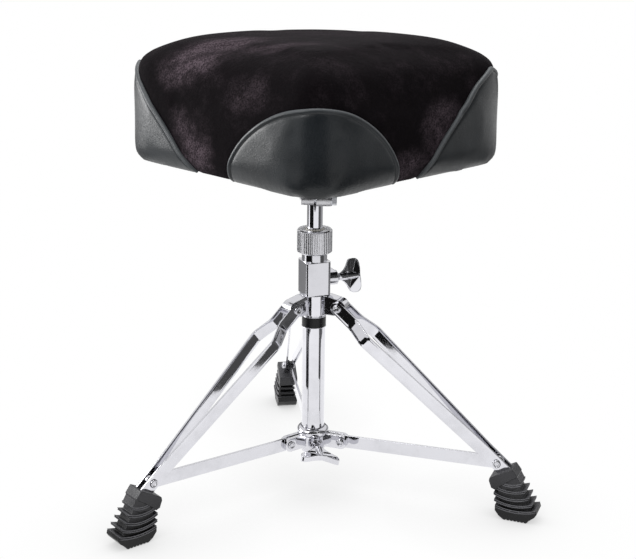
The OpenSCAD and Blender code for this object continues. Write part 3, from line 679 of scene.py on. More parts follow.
def make_finishes():
    seat, stand, _ = settings()
    for name, (share, *shape) in PLATED.items():
        chrome(name, toned(stand.chrome, share), *shape)
    knurled("nut_satin", (0.66, 0.66, 0.69))
    satin("zinc_steel", (0.5, 0.51, 0.54), 0.34, 700, 0.0004, 0.00005)
    satin("cast_mount", (0.56, 0.56, 0.58), 0.42, 420, 0.001, 0.00022)
    plastic("bush_nylon", (0.62, 0.6, 0.54), 0.4, 500, 0.00005)
    plastic("washer_plastic", (0.03, 0.03, 0.032), 0.45, 500, 0.00005)
    plastic("band_black", (0.006, 0.006, 0.007), 0.3, 260, 0.00002, 0.25)
    rubber(stand.rubber)
    plywood()
    felt()
    crushed_velour(seat)
    grained_vinyl(seat)
    sewing_thread(seat)


# ---- Camera and image points ----


def camera_basis(studio):
    """The camera's right, up and forward directions from its yaw, pitch and roll."""
    forward = Vector((
        math.sin(studio.yaw) * math.cos(studio.pitch),
        math.cos(studio.yaw) * math.cos(studio.pitch),
        -math.sin(studio.pitch)))
    level = Vector((math.cos(studio.yaw), -math.sin(studio.yaw), 0))
    above = level.cross(forward)
    right = level * math.cos(studio.roll) + above * math.sin(studio.roll)
    up = above * math.cos(studio.roll) - level * math.sin(studio.roll)
    return right, up, forward


def image_ray(point):
    """Start and direction of the ray through a point of the photograph's frame."""
    camera = bpy.context.scene.camera
    long_side = max(FRAME_W, FRAME_H)
    x, y = point
    aim = Vector((
        x - FRAME_W / 2 + camera.data.shift_x * long_side,
        FRAME_H / 2 - y + camera.data.shift_y * long_side,
        -long_side * camera.data.lens / camera.data.sensor_width))
    turn = camera.matrix_world.to_3x3()
    return camera.matrix_world.translation.copy(), (turn @ aim).normalized()


def image_place(point, carrier):
    """Where the ray through an image point meets the carrier, or the carrier's place nearest the ray."""
    start, aim = image_ray(point)
    place, normal, _, _ = tree_of(carrier).ray_cast(start, aim)
    if place is None:
        nearest = min(carrier.data.vertices, key=lambda v: (v.co - start).cross(aim).length)
        place, normal = nearest.co.copy(), nearest.normal.copy()
    return place, normal


def in_image(place):
    """The point of the photograph's frame at which a place shows."""
    camera = bpy.context.scene.camera
    long_side = max(FRAME_W, FRAME_H)
    local = camera.matrix_world.inverted() @ Vector(place)
    scale = long_side * camera.data.lens / camera.data.sensor_width / -local.z
    return (local.x * scale + FRAME_W / 2 - camera.data.shift_x * long_side,
            FRAME_H / 2 - local.y * scale + camera.data.shift_y * long_side)


# ---- The stage ----


# The lamps: place, target, width and height, and power
LAMPS = {
    "key": ((-1.5, -1.5, 1.9), (0, 0, 0.35), (1.3, 1.0), 26),
    "fill": ((1.9, -1.2, 1.2), (0, 0, 0.3), (0.8, 1.3), 10),
    "top": ((0.1, 0.5, 2.4), (0, 0, 0.4), (1.6, 1.2), 20),
    "side": ((-1.45, 0.3, 0.5), (0, 0, 0.45), (0.9, 0.6), 13),
}


def area_light(name, place, target, size, power):
    bpy.ops.object.light_add(type="AREA", location=place)
    lamp = bpy.context.object
    lamp.name = name
    lamp.data.shape = "RECTANGLE"
    lamp.data.size, lamp.data.size_y = size
    lamp.data.energy = power
    lamp.rotation_mode = "QUATERNION"
    lamp.rotation_quaternion = (Vector(target) - Vector(place)).to_track_quat("-Z", "Y")


# Studio cards that end the white floor for what the polish shows: azimuth from the camera, distance,
# width, lower edge, height and brightness
CARDS = (
    ("front", 0, 0.9, 1.15, 0.14, 1.4, 0.01),
    ("left", -50, 0.59, 0.68, 0, 0.17, 0.01),
    ("far_left", -50, 0.95, 1.1, 0, 0.2, 0.01),
    ("right", 73, 0.56, 0.42, 0, 0.35, 0.12),
    ("near_left", -62, 0.34, 0.19, 0, 0.1, 0.02),
    ("near_right", 64, 0.38, 0.15, 0, 0.1, 0.09),
    ("back_left", -136, 0.75, 1.15, 0, 0.35, 0.33),
    ("back_right", 125, 0.70, 1.0, 0, 0.35, 0.42),
    ("back", 180, 1.2, 2.4, 0.3, 0.26, 0.02),
    ("high_right", 64, 1.1, 1.1, 0.35, 1.2, 0.04),
)


def reflector(name, azimuth, distance, width, base, height, tone):
    """A studio card that stands round the object and shows in its polish alone."""
    bpy.ops.mesh.primitive_plane_add(size=1)
    card = bpy.context.object
    card.name = name
    turn = math.radians(azimuth)
    place = Vector((math.sin(turn) * distance, -math.cos(turn) * distance, base + height / 2))
    card.matrix_world = (
        Matrix.Translation(place) @ Matrix.Rotation(turn, 4, "Z") @ ACROSS
        @ Matrix.Diagonal((width, height, 1, 1)))
    f = stage_nodes(card)
    f.add("ShaderNodeOutputMaterial", {"Surface": f.add("ShaderNodeEmission", {"Strength": tone}).outputs[0]})
    for ray in ("camera", "diffuse", "shadow", "transmission", "volume_scatter"):
        setattr(card, "visible_" + ray, False)
    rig.stage(card)


def stage_nodes(obj):
    """An empty material on a stage piece, by the piece's name."""
    material = bpy.data.materials.new(obj.name)
    obj.data.materials.append(material)
    f = Nodes(material)
    f.tree.nodes.clear()
    return f


def seen_directly(f):
    """1 for rays from the camera, off polish and through glass, and 0 for the rest."""
    path = f.add("ShaderNodeLightPath").outputs
    polish = f.maths("MAXIMUM", path["Is Camera Ray"], path["Is Glossy Ray"])
    return f.maths("MAXIMUM", polish, path["Is Transmission Ray"])


def make_floor():
    """A pale floor for light and polish. The camera sees white, a contact shadow, and what folds below it."""
    studio = settings()[2]
    bpy.ops.mesh.primitive_plane_add(size=studio.floor, location=(0, 0, -studio.floor_gap))
    floor = bpy.context.object
    floor.name = "floor"
    f = stage_nodes(floor)
    paper = f.add("ShaderNodeBsdfDiffuse", {"Color": (0.36, 0.36, 0.36)}).outputs[0]
    strength = f.maths("MULTIPLY", seen_directly(f), studio.floor_glow)
    glow = f.add("ShaderNodeEmission", {"Strength": strength}).outputs[0]
    both = f.add("ShaderNodeAddShader", {0: paper, 1: glow}).outputs[0]
    near = f.add("ShaderNodeAmbientOcclusion", {"Distance": studio.shade_reach}, samples=16).outputs["AO"]
    shade = f.add("ShaderNodeMapRange", {"Value": near, "To Min": studio.floor_shade}).outputs["Result"]
    veil = f.add("ShaderNodeBsdfTransparent", {"Color": shade}).outputs[0]
    clear = f.add("ShaderNodeBsdfTransparent").outputs[0]
    above = f.pick(f.add("ShaderNodeLightPath").outputs["Is Camera Ray"], both, veil)
    either = f.pick(f.add("ShaderNodeNewGeometry").outputs["Backfacing"], above, clear)
    f.add("ShaderNodeOutputMaterial", {"Surface": either})
    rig.stage(floor)


def make_room():
    """Soft even light, and white wherever the room itself shows."""
    world = bpy.data.worlds.new("studio")
    bpy.context.scene.world = world
    f = Nodes(world)
    f.tree.nodes.clear()
    soft = f.add("ShaderNodeBackground", {"Color": WHITE, "Strength": settings()[2].ambient}).outputs[0]
    white = f.add("ShaderNodeBackground", {"Color": WHITE}).outputs[0]
    f.add("ShaderNodeOutputWorld", {"Surface": f.pick(seen_directly(f), soft, white)})


def make_camera():
    studio = settings()[2]
    right, up, forward = camera_basis(studio)
    bpy.ops.object.camera_add()
    camera = bpy.context.object
    camera.name = "camera"
    camera.data.lens = studio.lens
    camera.data.sensor_fit = "AUTO"
    turn = Matrix((right, up, -forward)).transposed().to_4x4()
    camera.matrix_world = Matrix.Translation(studio.place) @ turn
    bpy.context.scene.camera = camera
    bpy.context.view_layer.update()


class THRONE_OT_stage(bpy.types.Operator):
    """Makes the camera, the white room and floor, the soft lights and the dark cards"""

    bl_idname = "throne.stage"
    bl_label = "Stage"

    def execute(self, context):
        make_camera()
        make_room()
        make_floor()
        context.scene.view_settings.view_transform = "Standard"
        for name, lamp in LAMPS.items():
            area_light(name, *lamp)
        for name, *shape in CARDS:
            reflector("card_" + name, *shape)
        return {"FINISHED"}


# ---- Cushion and its panels ----


def capped(obj, rest, most):
    """Holds each point of obj within a distance of where it rested."""
    for vertex, start in zip(obj.data.vertices, rest):
        move = vertex.co - start
        if move.length > most:
            vertex.co = start + move * (most / move.length)


CLOTH_STEPS = 20


def inflate(obj, pressure, base_z):
    """Fills the cushion by cloth pressure, its underside held."""
    pins = obj.vertex_groups.new(name="held")
    pins.add([v.index for v in obj.data.vertices if v.co.z < base_z], 1.0, "REPLACE")
    cloth = obj.modifiers.new("cloth", "CLOTH")
    cloth.settings.vertex_group_mass = "held"
    cloth.settings.use_pressure = True
    cloth.settings.uniform_pressure_force = pressure
    cloth.settings.effector_weights.gravity = 0
    cloth.point_cache.frame_start, cloth.point_cache.frame_end = 1, CLOTH_STEPS
    scene = bpy.context.scene
    for step in range(1, CLOTH_STEPS + 1):
        scene.frame_set(step)
    take(obj)
    bpy.ops.object.modifier_apply(modifier="cloth")
    scene.frame_set(1)
    obj.vertex_groups.clear()


# How near to the cushion's base a point is set flat, held while it fills, and set flat again
FLAT_BAND = 1.5 * MM
HELD_BAND = 3 * MM
BASE_BAND = 0.1 * MM


def make_core():
    """The velour cushion: the CAD cushion's form, remeshed and filled."""
    seat = settings()[0]
    source = frame["nodes"]["seat_cushion"]
    core = bpy.data.objects.new("seat_velour", source.data.copy())
    bpy.context.scene.collection.objects.link(core)
    edit(core, merge, bpy.ops.mesh.convex_hull)
    modify(core, "REMESH", mode="VOXEL", voxel_size=seat.voxel)
    modify(core, "SMOOTH", factor=0.5, iterations=6)
    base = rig.box("seat_cushion")[0].z
    for vertex in core.data.vertices:
        if vertex.co.z < base + FLAT_BAND:
            vertex.co.z = base
    rest = [v.co.copy() for v in core.data.vertices]
    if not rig.quick():
        modify(core, "DISPLACE", strength=-seat.undersize, mid_level=0)
        inflate(core, seat.pressure, base + HELD_BAND)
        capped(core, rest, seat.swell)
        for vertex, start in zip(core.data.vertices, rest):
            if start.z < base + BASE_BAND:
                vertex.co.z = base
    modify(core, "SUBSURF", levels=1, render_levels=1)
    return core


# Steps of half a degree in half a turn, and a distance just outside the wall
WALL_STEPS = 360
WALL_REACH = 0.3


class Wall:
    """The cushion's wall, unrolled: s runs round it from the nose, positive to the right; z is the height."""

    def __init__(self, core, height):
        self.tree = tree_of(core)
        self.turns = [math.radians(a / 2) for a in range(-WALL_STEPS, WALL_STEPS + 1)]
        line = [self.at(turn, height)[0] for turn in self.turns]
        self.reach = [0.0]
        for a, b in zip(line, line[1:]):
            self.reach.append(self.reach[-1] + (b - a).length)
        self.start = self.reach[WALL_STEPS]
        self.half = self.reach[-1] / 2

    def at(self, turn, z):
        """Place and normal of the wall at an azimuth from the nose."""
        out = Vector((math.sin(turn), -math.cos(turn), 0))
        place, normal, _, _ = self.tree.ray_cast(out + Vector((0, 0, z)), -out)
        if place is None:
            place, normal, _, _ = self.tree.find_nearest(WALL_REACH * out + Vector((0, 0, z)))
        return place, normal

    def point(self, s, z):
        want = (s + self.start) % self.reach[-1]
        i = min(max(bisect.bisect(self.reach, want), 1), len(self.reach) - 1)
        t = (want - self.reach[i - 1]) / (self.reach[i] - self.reach[i - 1])
        turn = self.turns[i - 1] + t * (self.turns[i] - self.turns[i - 1])
        return self.at(turn, z)


SEAM_SMOOTHING = 14


def seam(low, high, centre, left, right, power, count):
    """A panel's upper edge on the unrolled wall, from foot to foot, evenly spaced. power 2 is an oval."""
    line = []
    fine = 4 * count
    for i in range(fine + 1):
        turn = math.pi * i / fine
        c, s = -math.cos(turn), math.sin(turn)
        half = left if c < 0 else right
        line.append(Vector((
            centre + math.copysign(abs(c) ** (2 / power), c) * half,
            low + s ** (2 / power) * (high - low))))
    for _ in range(SEAM_SMOOTHING):
        inner = [(a + 2 * b + c) / 4 for a, b, c in zip(line, line[1:], line[2:])]
        line = [line[0]] + inner + [line[-1]]
    return evenly(line, count)


def evenly(line, count):
    """count + 1 points at even steps along a polyline."""
    reach = [0.0]
    for a, b in zip(line, line[1:]):
        reach.append(reach[-1] + (b - a).length)
    points = []
    for i in range(count + 1):
        want = reach[-1] * i / count
        j = min(max(bisect.bisect(reach, want), 1), len(line) - 1)
        t = (want - reach[j - 1]) / max(reach[j] - reach[j - 1], 1e-12)
        points.append(line[j - 1].lerp(line[j], t))
    return points


# Rows of a panel next to its seam: distance from the seam as a share of the rolled edge, and rise as a
# share of its height
EDGE_ROWS = ((0.0, -0.2), (0.0, 0.35), (0.1, 0.72), (0.28, 0.95), (0.5, 1.0), (0.72, 0.86), (0.92, 0.55),
             (1.12, 0.3), (1.3, 0.22), (1.5, 0.32), (1.8, 0.5), (2.3, 0.58))
INNER_ROWS = 26
BODY_RISE = 0.58

# How far a panel's rows keep apart at its foot, the share of the rise left there, and the height over
# which it grows to the full
FOOT_SPREAD = 0.45
FOOT_RISE = 0.25
FOOT_FADE = 10 * MM


def to_foot(line, edge):
    """From a point of a panel's seam to where its row ends at the panel's foot."""
    middle = (line[0].x + line[-1].x) / 2
    return Vector((middle + (edge.x - middle) * FOOT_SPREAD, line[0].y)) - edge


def panel(name, wall, line):
    """A vinyl panel over the wall below its seam, with a rolled edge and a sewn channel."""
    seat = settings()[0]
    low = line[0].y
    verts, edges = [], []
    for edge in line:
        run = to_foot(line, edge)
        length = run.length
        foot = min(1.0, FOOT_RISE + (edge.y - low) / FOOT_FADE)
        rows = [(share * seat.welt, rise * seat.welt_rise * foot) for share, rise in EDGE_ROWS]
        last = rows[-1][0]
        body = BODY_RISE * seat.welt_rise * foot
        rows += [(last + (length - last) * (i + 1) / INNER_ROWS, body) for i in range(INNER_ROWS)]
        for distance, rise in rows:
            spot = edge + run * min(distance / length, 1.0)
            place, normal = wall.point(spot.x, max(spot.y, low))
            verts.append(place + normal * rise)
            edges.append(max(0.0, 1 - distance / (1.1 * seat.welt)))
    faces = grid(len(line), len(EDGE_ROWS) + INNER_ROWS)
    obj = new_piece(name, verts, faces)
    # Each point's share of the rolled edge, which the vinyl paints lighter as a highlight
    mark(obj, "edge", edges)
    face = obj.data.polygons[len(faces) // 2]
    if face.normal.dot(face.center - Vector((0, 0, face.center.z))) < 0:
        edit(obj, bpy.ops.mesh.flip_normals)
    modify(obj, "SOLIDIFY", thickness=seat.vinyl, offset=-1)
    return smooth(obj, 50)


# A stitch's radius, how much longer and flatter than a ball it is, and its height as a share of the
# rolled edge's
THREAD_R = 0.5 * MM
STITCH_LONG = 3.2
STITCH_FLAT = 0.8
THREAD_RISE = 0.3


def stitches(name, wall, line):
    """A row of small thread stitches along a panel's sewn channel."""
    seat = settings()[0]
    low = line[0].y
    track = []
    for edge in line:
        run = to_foot(line, edge)
        track.append(edge + run * (seat.stitch_inset / run.length))
    total = sum((b - a).length for a, b in zip(track, track[1:]))
    spots = evenly(track, int(total / seat.stitch_pitch))
    bpy.ops.mesh.primitive_uv_sphere_add(segments=6, ring_count=4, radius=THREAD_R)
    model = bpy.context.object
    verts, faces = [], []
    for a, b in zip(spots, spots[1:]):
        start, normal = wall.point(a.x, max(a.y, low))
        end, _ = wall.point(b.x, max(b.y, low))
        along = (end - start).normalized()
        across = normal.cross(along).normalized()
        turn = Matrix((along, across, normal)).transposed()
        centre = (start + end) / 2 + normal * (THREAD_RISE * seat.welt_rise)
        first = len(verts)
        for vertex in model.data.vertices:
            size = Vector((vertex.co.x * STITCH_LONG, vertex.co.y, vertex.co.z * STITCH_FLAT))
            verts.append(centre + turn @ size)
        faces += [[first + k for k in face.vertices] for face in model.data.polygons]
    bpy.data.objects.remove(model)
    return smooth(new_piece(name, verts, faces), 80)


def press_seam(core, wall, line):
    """Draws the velour in along a seam, as the stitching pulls it down."""
    places = [wall.point(p.x, max(p.y, line[0].y))[0] for p in line]
    for vertex in core.data.vertices:
        near = min((vertex.co - p).length_squared for p in places[::2]) ** 0.5
        if near < SEAM_REACH:
            vertex.co -= vertex.normal * SEAM_DEPTH * (1 - near / SEAM_REACH) ** 2


# All seams: height of their feet over the cushion's base
BASE_LIFT = 0.8 * MM

# The front and rear seams: how far the front's apex lies to the right, how far its feet reach past their
# image points, the rear's half width, and for both the fullness and the number of steps
APEX = 6 * MM
FOOT_TUCK = 1.5 * MM
REAR_HALF = 95 * MM
END_POWER = 1.75
END_STEPS = 110

# The side seams: in millimetres how far the middle lies from the image point's place and the reach to its
# left and right, then the fullness; and for both the height over the feet and the number of steps
SIDE_SEAMS = {"left": (-93, 112, 134, 1.2), "right": (68, 135, 138, 1.25)}
SIDE_RISE = 113 * MM
SIDE_STEPS = 130


def panel_lines(core, wall):
    """The four seams, set by the image points that they pass through."""
    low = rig.box("seat_cushion")[0].z + BASE_LIFT

    def unrolled(name):
        place, _ = image_place(IMAGE_POINTS[name], core)
        i = bisect.bisect(wall.turns, math.atan2(place.x, -place.y))
        return wall.reach[min(i, len(wall.reach) - 1)] - wall.start, place.z

    top = unrolled("front_panel_top")[1]
    left_foot = unrolled("front_panel_left_foot")[0] + FOOT_TUCK
    right_foot = unrolled("front_panel_right_foot")[0] - FOOT_TUCK
    middle = (left_foot + right_foot) / 2
    left, right = middle + APEX - left_foot, right_foot - middle - APEX
    lines = {"front": seam(low, top, middle + APEX, left, right, END_POWER, END_STEPS)}
    for side, (shift, left, right, power) in SIDE_SEAMS.items():
        middle = unrolled(side + "_panel_seam")[0] + shift * MM
        lines[side] = seam(low, low + SIDE_RISE, middle, left * MM, right * MM, power, SIDE_STEPS)
    lines["rear"] = seam(low, top, wall.half, REAR_HALF, REAR_HALF, END_POWER, END_STEPS)
    return lines


# Height at which the cushion's wall is measured round, and how deep and how far each seam draws the velour in
GIRTH_RISE = 48 * MM
SEAM_DEPTH = 1.2 * MM
SEAM_REACH = 9 * MM

# The cushion's underside over the cover: which of its points are lifted, and how far
UNDERSIDE = 1.2 * MM
UNDERSIDE_LIFT = 1.4 * MM


def rest_on_cover(core, base):
    """Lifts the cushion's underside clear of the cover, wherever the cover lies below it."""
    cover = tree_of(frame["nodes"]["dust_cover"])
    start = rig.box("seat_board")[0].z - 50 * MM
    for vertex in core.data.vertices:
        below = Vector((vertex.co.x, vertex.co.y, start))
        if vertex.co.z < base + UNDERSIDE and cover.ray_cast(below, Vector((0, 0, 1)))[0] is not None:
            vertex.co.z = base + UNDERSIDE_LIFT
    core.data.update()


class THRONE_OT_cushion(bpy.types.Operator):
    """Makes the padded velour cushion, its four vinyl panels and their stitching"""

    bl_idname = "throne.cushion"
    bl_label = "Cushion"

    def execute(self, context):
        core = make_core()
        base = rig.box("seat_cushion")[0].z
        wall = Wall(core, base + GIRTH_RISE)
        lines = panel_lines(core, wall)
        for side, line in lines.items():
            cover = panel("panel_" + side, wall, line)
            dress(cover, "cushion_vinyl", "seat", "cushion_velour")
            thread = stitches("stitches_" + side, wall, line)
            dress(thread, "panel_thread", "seat", "cushion_velour")
            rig.padded(cover, fill=0.8)
        for line in lines.values():
            press_seam(core, wall, line)
        rest_on_cover(core, base)
        smooth(core, 60)
        dress(core, "cushion_velour", "seat", "cushion_velour", "seat_cushion")
        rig.padded(core, fill=0.85)
        return {"FINISHED"}


# ---- Legs ----


def leg_turn(leg):
    stand = settings()[1]
    return Matrix.Rotation(stand.tripod_turn + math.radians(120) * LEGS[leg], 4, "Z")


def leg_matrix(leg):
    """Places a piece that was modelled along a leg, x running down the leg from its hub pivot."""
    stand = settings()[1]
    pitch = math.atan2(stand.hub_pivot_z - stand.foot_pivot_z, stand.foot_pivot_r - stand.hub_pivot_r)
    return (leg_turn(leg) @ Matrix.Translation((stand.hub_pivot_r, 0, stand.hub_pivot_z))
            @ Matrix.Rotation(pitch, 4, "Y"))


def leg_length():
    stand = settings()[1]
    return math.hypot(stand.foot_pivot_r - stand.hub_pivot_r, stand.hub_pivot_z - stand.foot_pivot_z)


# Along a strip from its hub pivot: where it starts to spread, where it is widest, and its flat foot to
# either side of the foot pivot
SPREAD_START = 28 * MM
SPREAD_END = 51 * MM
FOOT_FLAT = 20 * MM

# The strip's round end: angles of its points in degrees, and half the width of its tip
ROUND_END = (14, 28, 42, 56, 70, 90)
END_HALF = 0.8 * MM


def make_strip(side):
    """One bent flat steel strip with round ends, in the leg's own frame."""
    stand = settings()[1]
    length = leg_length()
    half = stand.strip_w / 2
    top, wide, foot = stand.strip_top, stand.strip_wide, stand.strip_foot
    bends = [(-half, top), (SPREAD_START, top), (SPREAD_END, wide),
             (length - FOOT_FLAT, foot), (length + FOOT_FLAT, foot)]
    line = rounded(bends, stand.bend)
    extra = [Vector((half * -math.cos(math.radians(a)), top)) for a in ROUND_END]
    line = [line[0]] + extra + line[1:]
    verts = []
    for x, y in line:
        rise = half
        if x < 0:
            rise = math.sqrt(max(half * half - x * x, END_HALF ** 2))
        verts += [(x, side * y, rise * (step / 2 - 1)) for step in range(5)]
    strip = new_piece("strip", verts, grid(len(line), 5))
    modify(strip, "SOLIDIFY", thickness=stand.strip_t, offset=0)
    edit(strip, outward)
    modify(strip, "BEVEL", width=stand.strip_edge, segments=2, limit_method="ANGLE", angle_limit=SHARP)
    return smooth(strip, 40)


class THRONE_OT_strips(bpy.types.Operator):
    """Makes the six bent leg strips"""

    bl_idname = "throne.strips"
    bl_label = "Leg strips"

    def execute(self, context):
        for side, letter in ((1, "a"), (-1, "b")):
            model = make_strip(side)
            for leg in LEGS:
                strip = twin(model, f"strip_{leg}_{letter}")
                settle(strip, leg_matrix(leg))
                dress(strip, "strip_chrome", "leg_" + leg, "strip_chrome", f"leg_{leg}_strip_{letter}")
            bpy.data.objects.remove(model)
        return {"FINISHED"}


# ---- Rivets ----

# A rolled rivet head from its rim to the middle of its dish, in millimetres: radius and height
RIVET_ROLL = ((5.2, 0.0), (5.2, 0.9), (4.95, 1.6), (4.4, 2.15), (3.7, 2.4), (3.1, 2.2), (2.75, 1.7),
              (2.5, 1.25), (1.6, 1.05), (0.0, 1.0))


def lathe(name, profile, steps=36):
    """A turned piece about z from a profile of (radius, height)."""
    line = [Vector((radius, 0, height)) for radius, height in profile]
    mesh = bpy.data.meshes.new(name)
    mesh.from_pydata(line, [(i, i + 1) for i in range(len(line) - 1)], [])
    obj = bpy.data.objects.new(name, mesh)
    bpy.context.scene.collection.objects.link(obj)
    modify(obj, "SCREW", axis="Z", steps=steps, render_steps=steps, use_merge_vertices=True,
           merge_threshold=MERGE)
    return edit(obj, merge, outward)


def rivet(half, shank_r):
    """A rivet through the origin along y, its two rolled heads seated at the given half length."""
    head = [(r * MM, half + z * MM) for r, z in RIVET_ROLL]
    profile = [(0, -head[-1][1])] + [(r, -z) for r, z in head[-2::-1]]
    profile += [(shank_r, -half), (shank_r, half)] + head
    body = lathe("rivet", profile)
    return settle(body, ACROSS)


def stub_rivet(side, inner, face, shank_r):
    """A short pin from the inner to the outer face of a strip, with a rolled head outside."""
    profile = [(0, inner), (shank_r, inner), (shank_r, face)]
    profile += [(r * MM, face + z * MM) for r, z in RIVET_ROLL]
    body = lathe("rivet", profile)
    return settle(body, Matrix.Rotation(-side * QUARTER, 4, "X"))


class THRONE_OT_rivets(bpy.types.Operator):
    """Makes the rolled rivets at the hub, the feet and the slider"""

    bl_idname = "throne.rivets"
    bl_label = "Rivets"

    def execute(self, context):
        stand = settings()[1]
        length = leg_length()
        hub_face = stand.strip_top + stand.strip_t / 2
        foot_face = stand.strip_foot + stand.strip_t / 2
        for leg in LEGS:
            foot = settle(rivet(foot_face, stand.rivet_r), Matrix.Translation((length, 0, 0)))
            stubs = [stub_rivet(side, hub_face - stand.strip_t, hub_face, stand.rivet_r) for side in (1, -1)]
            piece = settle(joined("rivets_" + leg, [foot] + stubs), leg_matrix(leg))
            dress(smooth(piece, 45), "rivet_steel", "leg_" + leg, "rivet_steel", f"leg_{leg}_rivets")
        pins = []
        for leg in LEGS:
            place = Matrix.Translation((stand.slider_pivot_r, 0, stand.slider_pivot_z))
            pins.append(settle(rivet(stand.ear_face, stand.rivet_r), leg_turn(leg) @ place))
        piece = smooth(joined("rivets_slider", pins), 45)
        dress(piece, "rivet_steel", "slider", "rivet_steel", "slider_rivets")
        return {"FINISHED"}


# ---- Wing bolts ----

# One half of the wings' outline, in millimetres: along the bolt and out from it
WING_HALF = ((1.5, 0), (2.0, 4.3), (5.5, 5.8), (9.0, 8.2), (12.4, 12.3), (14.6, 16.2), (16.4, 19.4),
             (19.0, 21.0), (23.0, 21.4), (27.0, 20.9), (29.6, 18.6), (30.6, 14.5), (30.4, 8.0), (29.8, 3.5),
             (29.6, 0))


# The barrel between the wings and the ridge along them, in millimetres: start and end along the bolt, and
# the radius at each
BARREL = ((0, 4, 4.7, 5.0), (3, 20, 4.9, 3.5), (19, 28, 3.5, 2.4))

# Half the width that the wings' sweep leaves straight, and the step of their mesh
BARREL_HALF = 4 * MM
WING_VOXEL = 0.42 * MM


def make_wings(droop, thick, size):
    """A cast wing head along x from the origin: a barrel, two swept wings and a ridge along each face."""
    outline = [(x * MM, y * size * MM) for x, y in WING_HALF]
    outline += [(x * MM, -y * size * MM) for x, y in WING_HALF[-2:0:-1]]
    plate = new_piece("plate", [(x, y, -thick / 2) for x, y in outline], [list(range(len(outline)))])
    edit(plate, lambda: bpy.ops.mesh.extrude_region_move(
        TRANSFORM_OT_translate={"value": (0, 0, thick)}), outward)
    parts = [plate]
    for low, high, r_low, r_high in BARREL:
        bpy.ops.mesh.primitive_cone_add(
            vertices=40, radius1=r_low * MM, radius2=r_high * MM, depth=(high - low) * MM,
            location=((low + high) / 2 * MM, 0, 0), rotation=(0, QUARTER, 0))
        parts.append(settle(bpy.context.object))
    head = joined("wings", parts)
    for vertex in head.data.vertices:
        vertex.co.z -= max(abs(vertex.co.y) - BARREL_HALF, 0) * math.tan(droop)
    modify(head, "REMESH", mode="VOXEL", voxel_size=WING_VOXEL)
    modify(head, "SMOOTH", factor=0.5, iterations=8)
    return head


# The bolts' thread: pitch, depth and how far the tip tapers in
THREAD_PITCH = 1.25 * MM
THREAD_DEPTH = 0.42 * MM
TIP_TAPER = 1.2 * MM

# Gap between a bolt's tip and what it presses on, and how much larger the slider bolt's wings are
BOLT_GAP = 0.2 * MM
SLIDER_WING_SIZE = 1.14


def make_wing_bolt(name, tip, droop, thick, size):
    """A wing bolt along x, its threaded shank's tip the given distance from the tube's axis."""
    stand = settings()[1]
    head = settle(make_wings(droop, thick, size), Matrix.Translation((stand.wing_head, 0, 0)))
    root = stand.bolt_r - THREAD_DEPTH
    end = stand.wing_head - tip + MM
    profile = [(0, 0), (stand.bolt_r - TIP_TAPER, 0)]
    for turn in range(int((stand.wing_head - tip) / THREAD_PITCH)):
        profile += [(stand.bolt_r, (turn + 0.55) * THREAD_PITCH), (root, (turn + 1.05) * THREAD_PITCH)]
    shank = lathe("shank", profile + [(root, end), (0, end)], 28)
    settle(shank, Matrix.Translation((tip, 0, 0)) @ Matrix.Rotation(QUARTER, 4, "Y"))
    return smooth(joined(name, [head, shank]), 40)


class THRONE_OT_wing_bolts(bpy.types.Operator):
    """Makes the two cast wing bolts"""

    bl_idname = "throne.wing_bolts"
    bl_label = "Wing bolts"

    def execute(self, context):
        stand = settings()[1]
        for which, turn, height, twist, tip, *shape in (
            ("height", stand.block_turn, stand.height_bolt_z, stand.height_wing_turn,
             stand.post_r + BOLT_GAP, stand.wing_droop, stand.wing_t, 1),
            ("slider", stand.slider_bolt_turn, stand.slider_bolt_z, stand.slider_wing_turn,
             stand.tube_r + BOLT_GAP, stand.slider_wing_droop, stand.slider_wing_t, SLIDER_WING_SIZE),
        ):
            bolt = make_wing_bolt("wing_bolt_" + which, tip, *shape)
            settle(bolt, Matrix.Rotation(turn, 4, "Z") @ Matrix.Translation((0, 0, height))
                   @ Matrix.Rotation(twist, 4, "X"))
            dress(bolt, "wing_chrome", which + "_bolt", "wing_chrome", which + "_wing_bolt")
        return {"FINISHED"}


# The band's rims: how far they stand proud of it and reach into it, their chamfer and their height
RIM_PROUD = 0.25 * MM
RIM_SUNK = 0.3 * MM
RIM_EDGE = 0.2 * MM
RIM_HEIGHT = 0.8 * MM


class THRONE_OT_band_rims(bpy.types.Operator):
    """Makes the two thin plated rims of the tube's band"""

    bl_idname = "throne.band_rims"
    bl_label = "Band rims"

    def execute(self, context):
        low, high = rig.box("plain_band")
        out = high.x + RIM_PROUD
        inner = high.x - RIM_SUNK
        rims = []
        for z in (low.z - RIM_EDGE, high.z - RIM_HEIGHT + RIM_EDGE):
            top = z + RIM_HEIGHT
            loop = [(inner, z), (out - RIM_EDGE, z), (out, z + RIM_EDGE), (out, top - RIM_EDGE),
                    (out - RIM_EDGE, top), (inner, top), (inner, z)]
            rims.append(lathe("rim", loop, 72))
        piece = smooth(joined("band_rims", rims), 40)
        dress(piece, "tube_chrome", "column", "band_black")
        return {"FINISHED"}


# ---- Boots ----

# The boot's ribs in the leg's plane, in millimetres: inner tip and outer tip, outward and up, sag, and
# width across
RIBS = (
    ((248.0, 45.5), (271.5, 48.2), 2.2, 24.6),
    ((241.8, 39.6), (277.3, 40.6), 3.6, 26.0),
    ((238.6, 32.6), (281.6, 32.4), 5.2, 27.2),
    ((239.8, 24.4), (286.2, 24.6), 4.8, 28.4),
    ((241.4, 16.8), (290.8, 17.2), 4.0, 29.6),
)

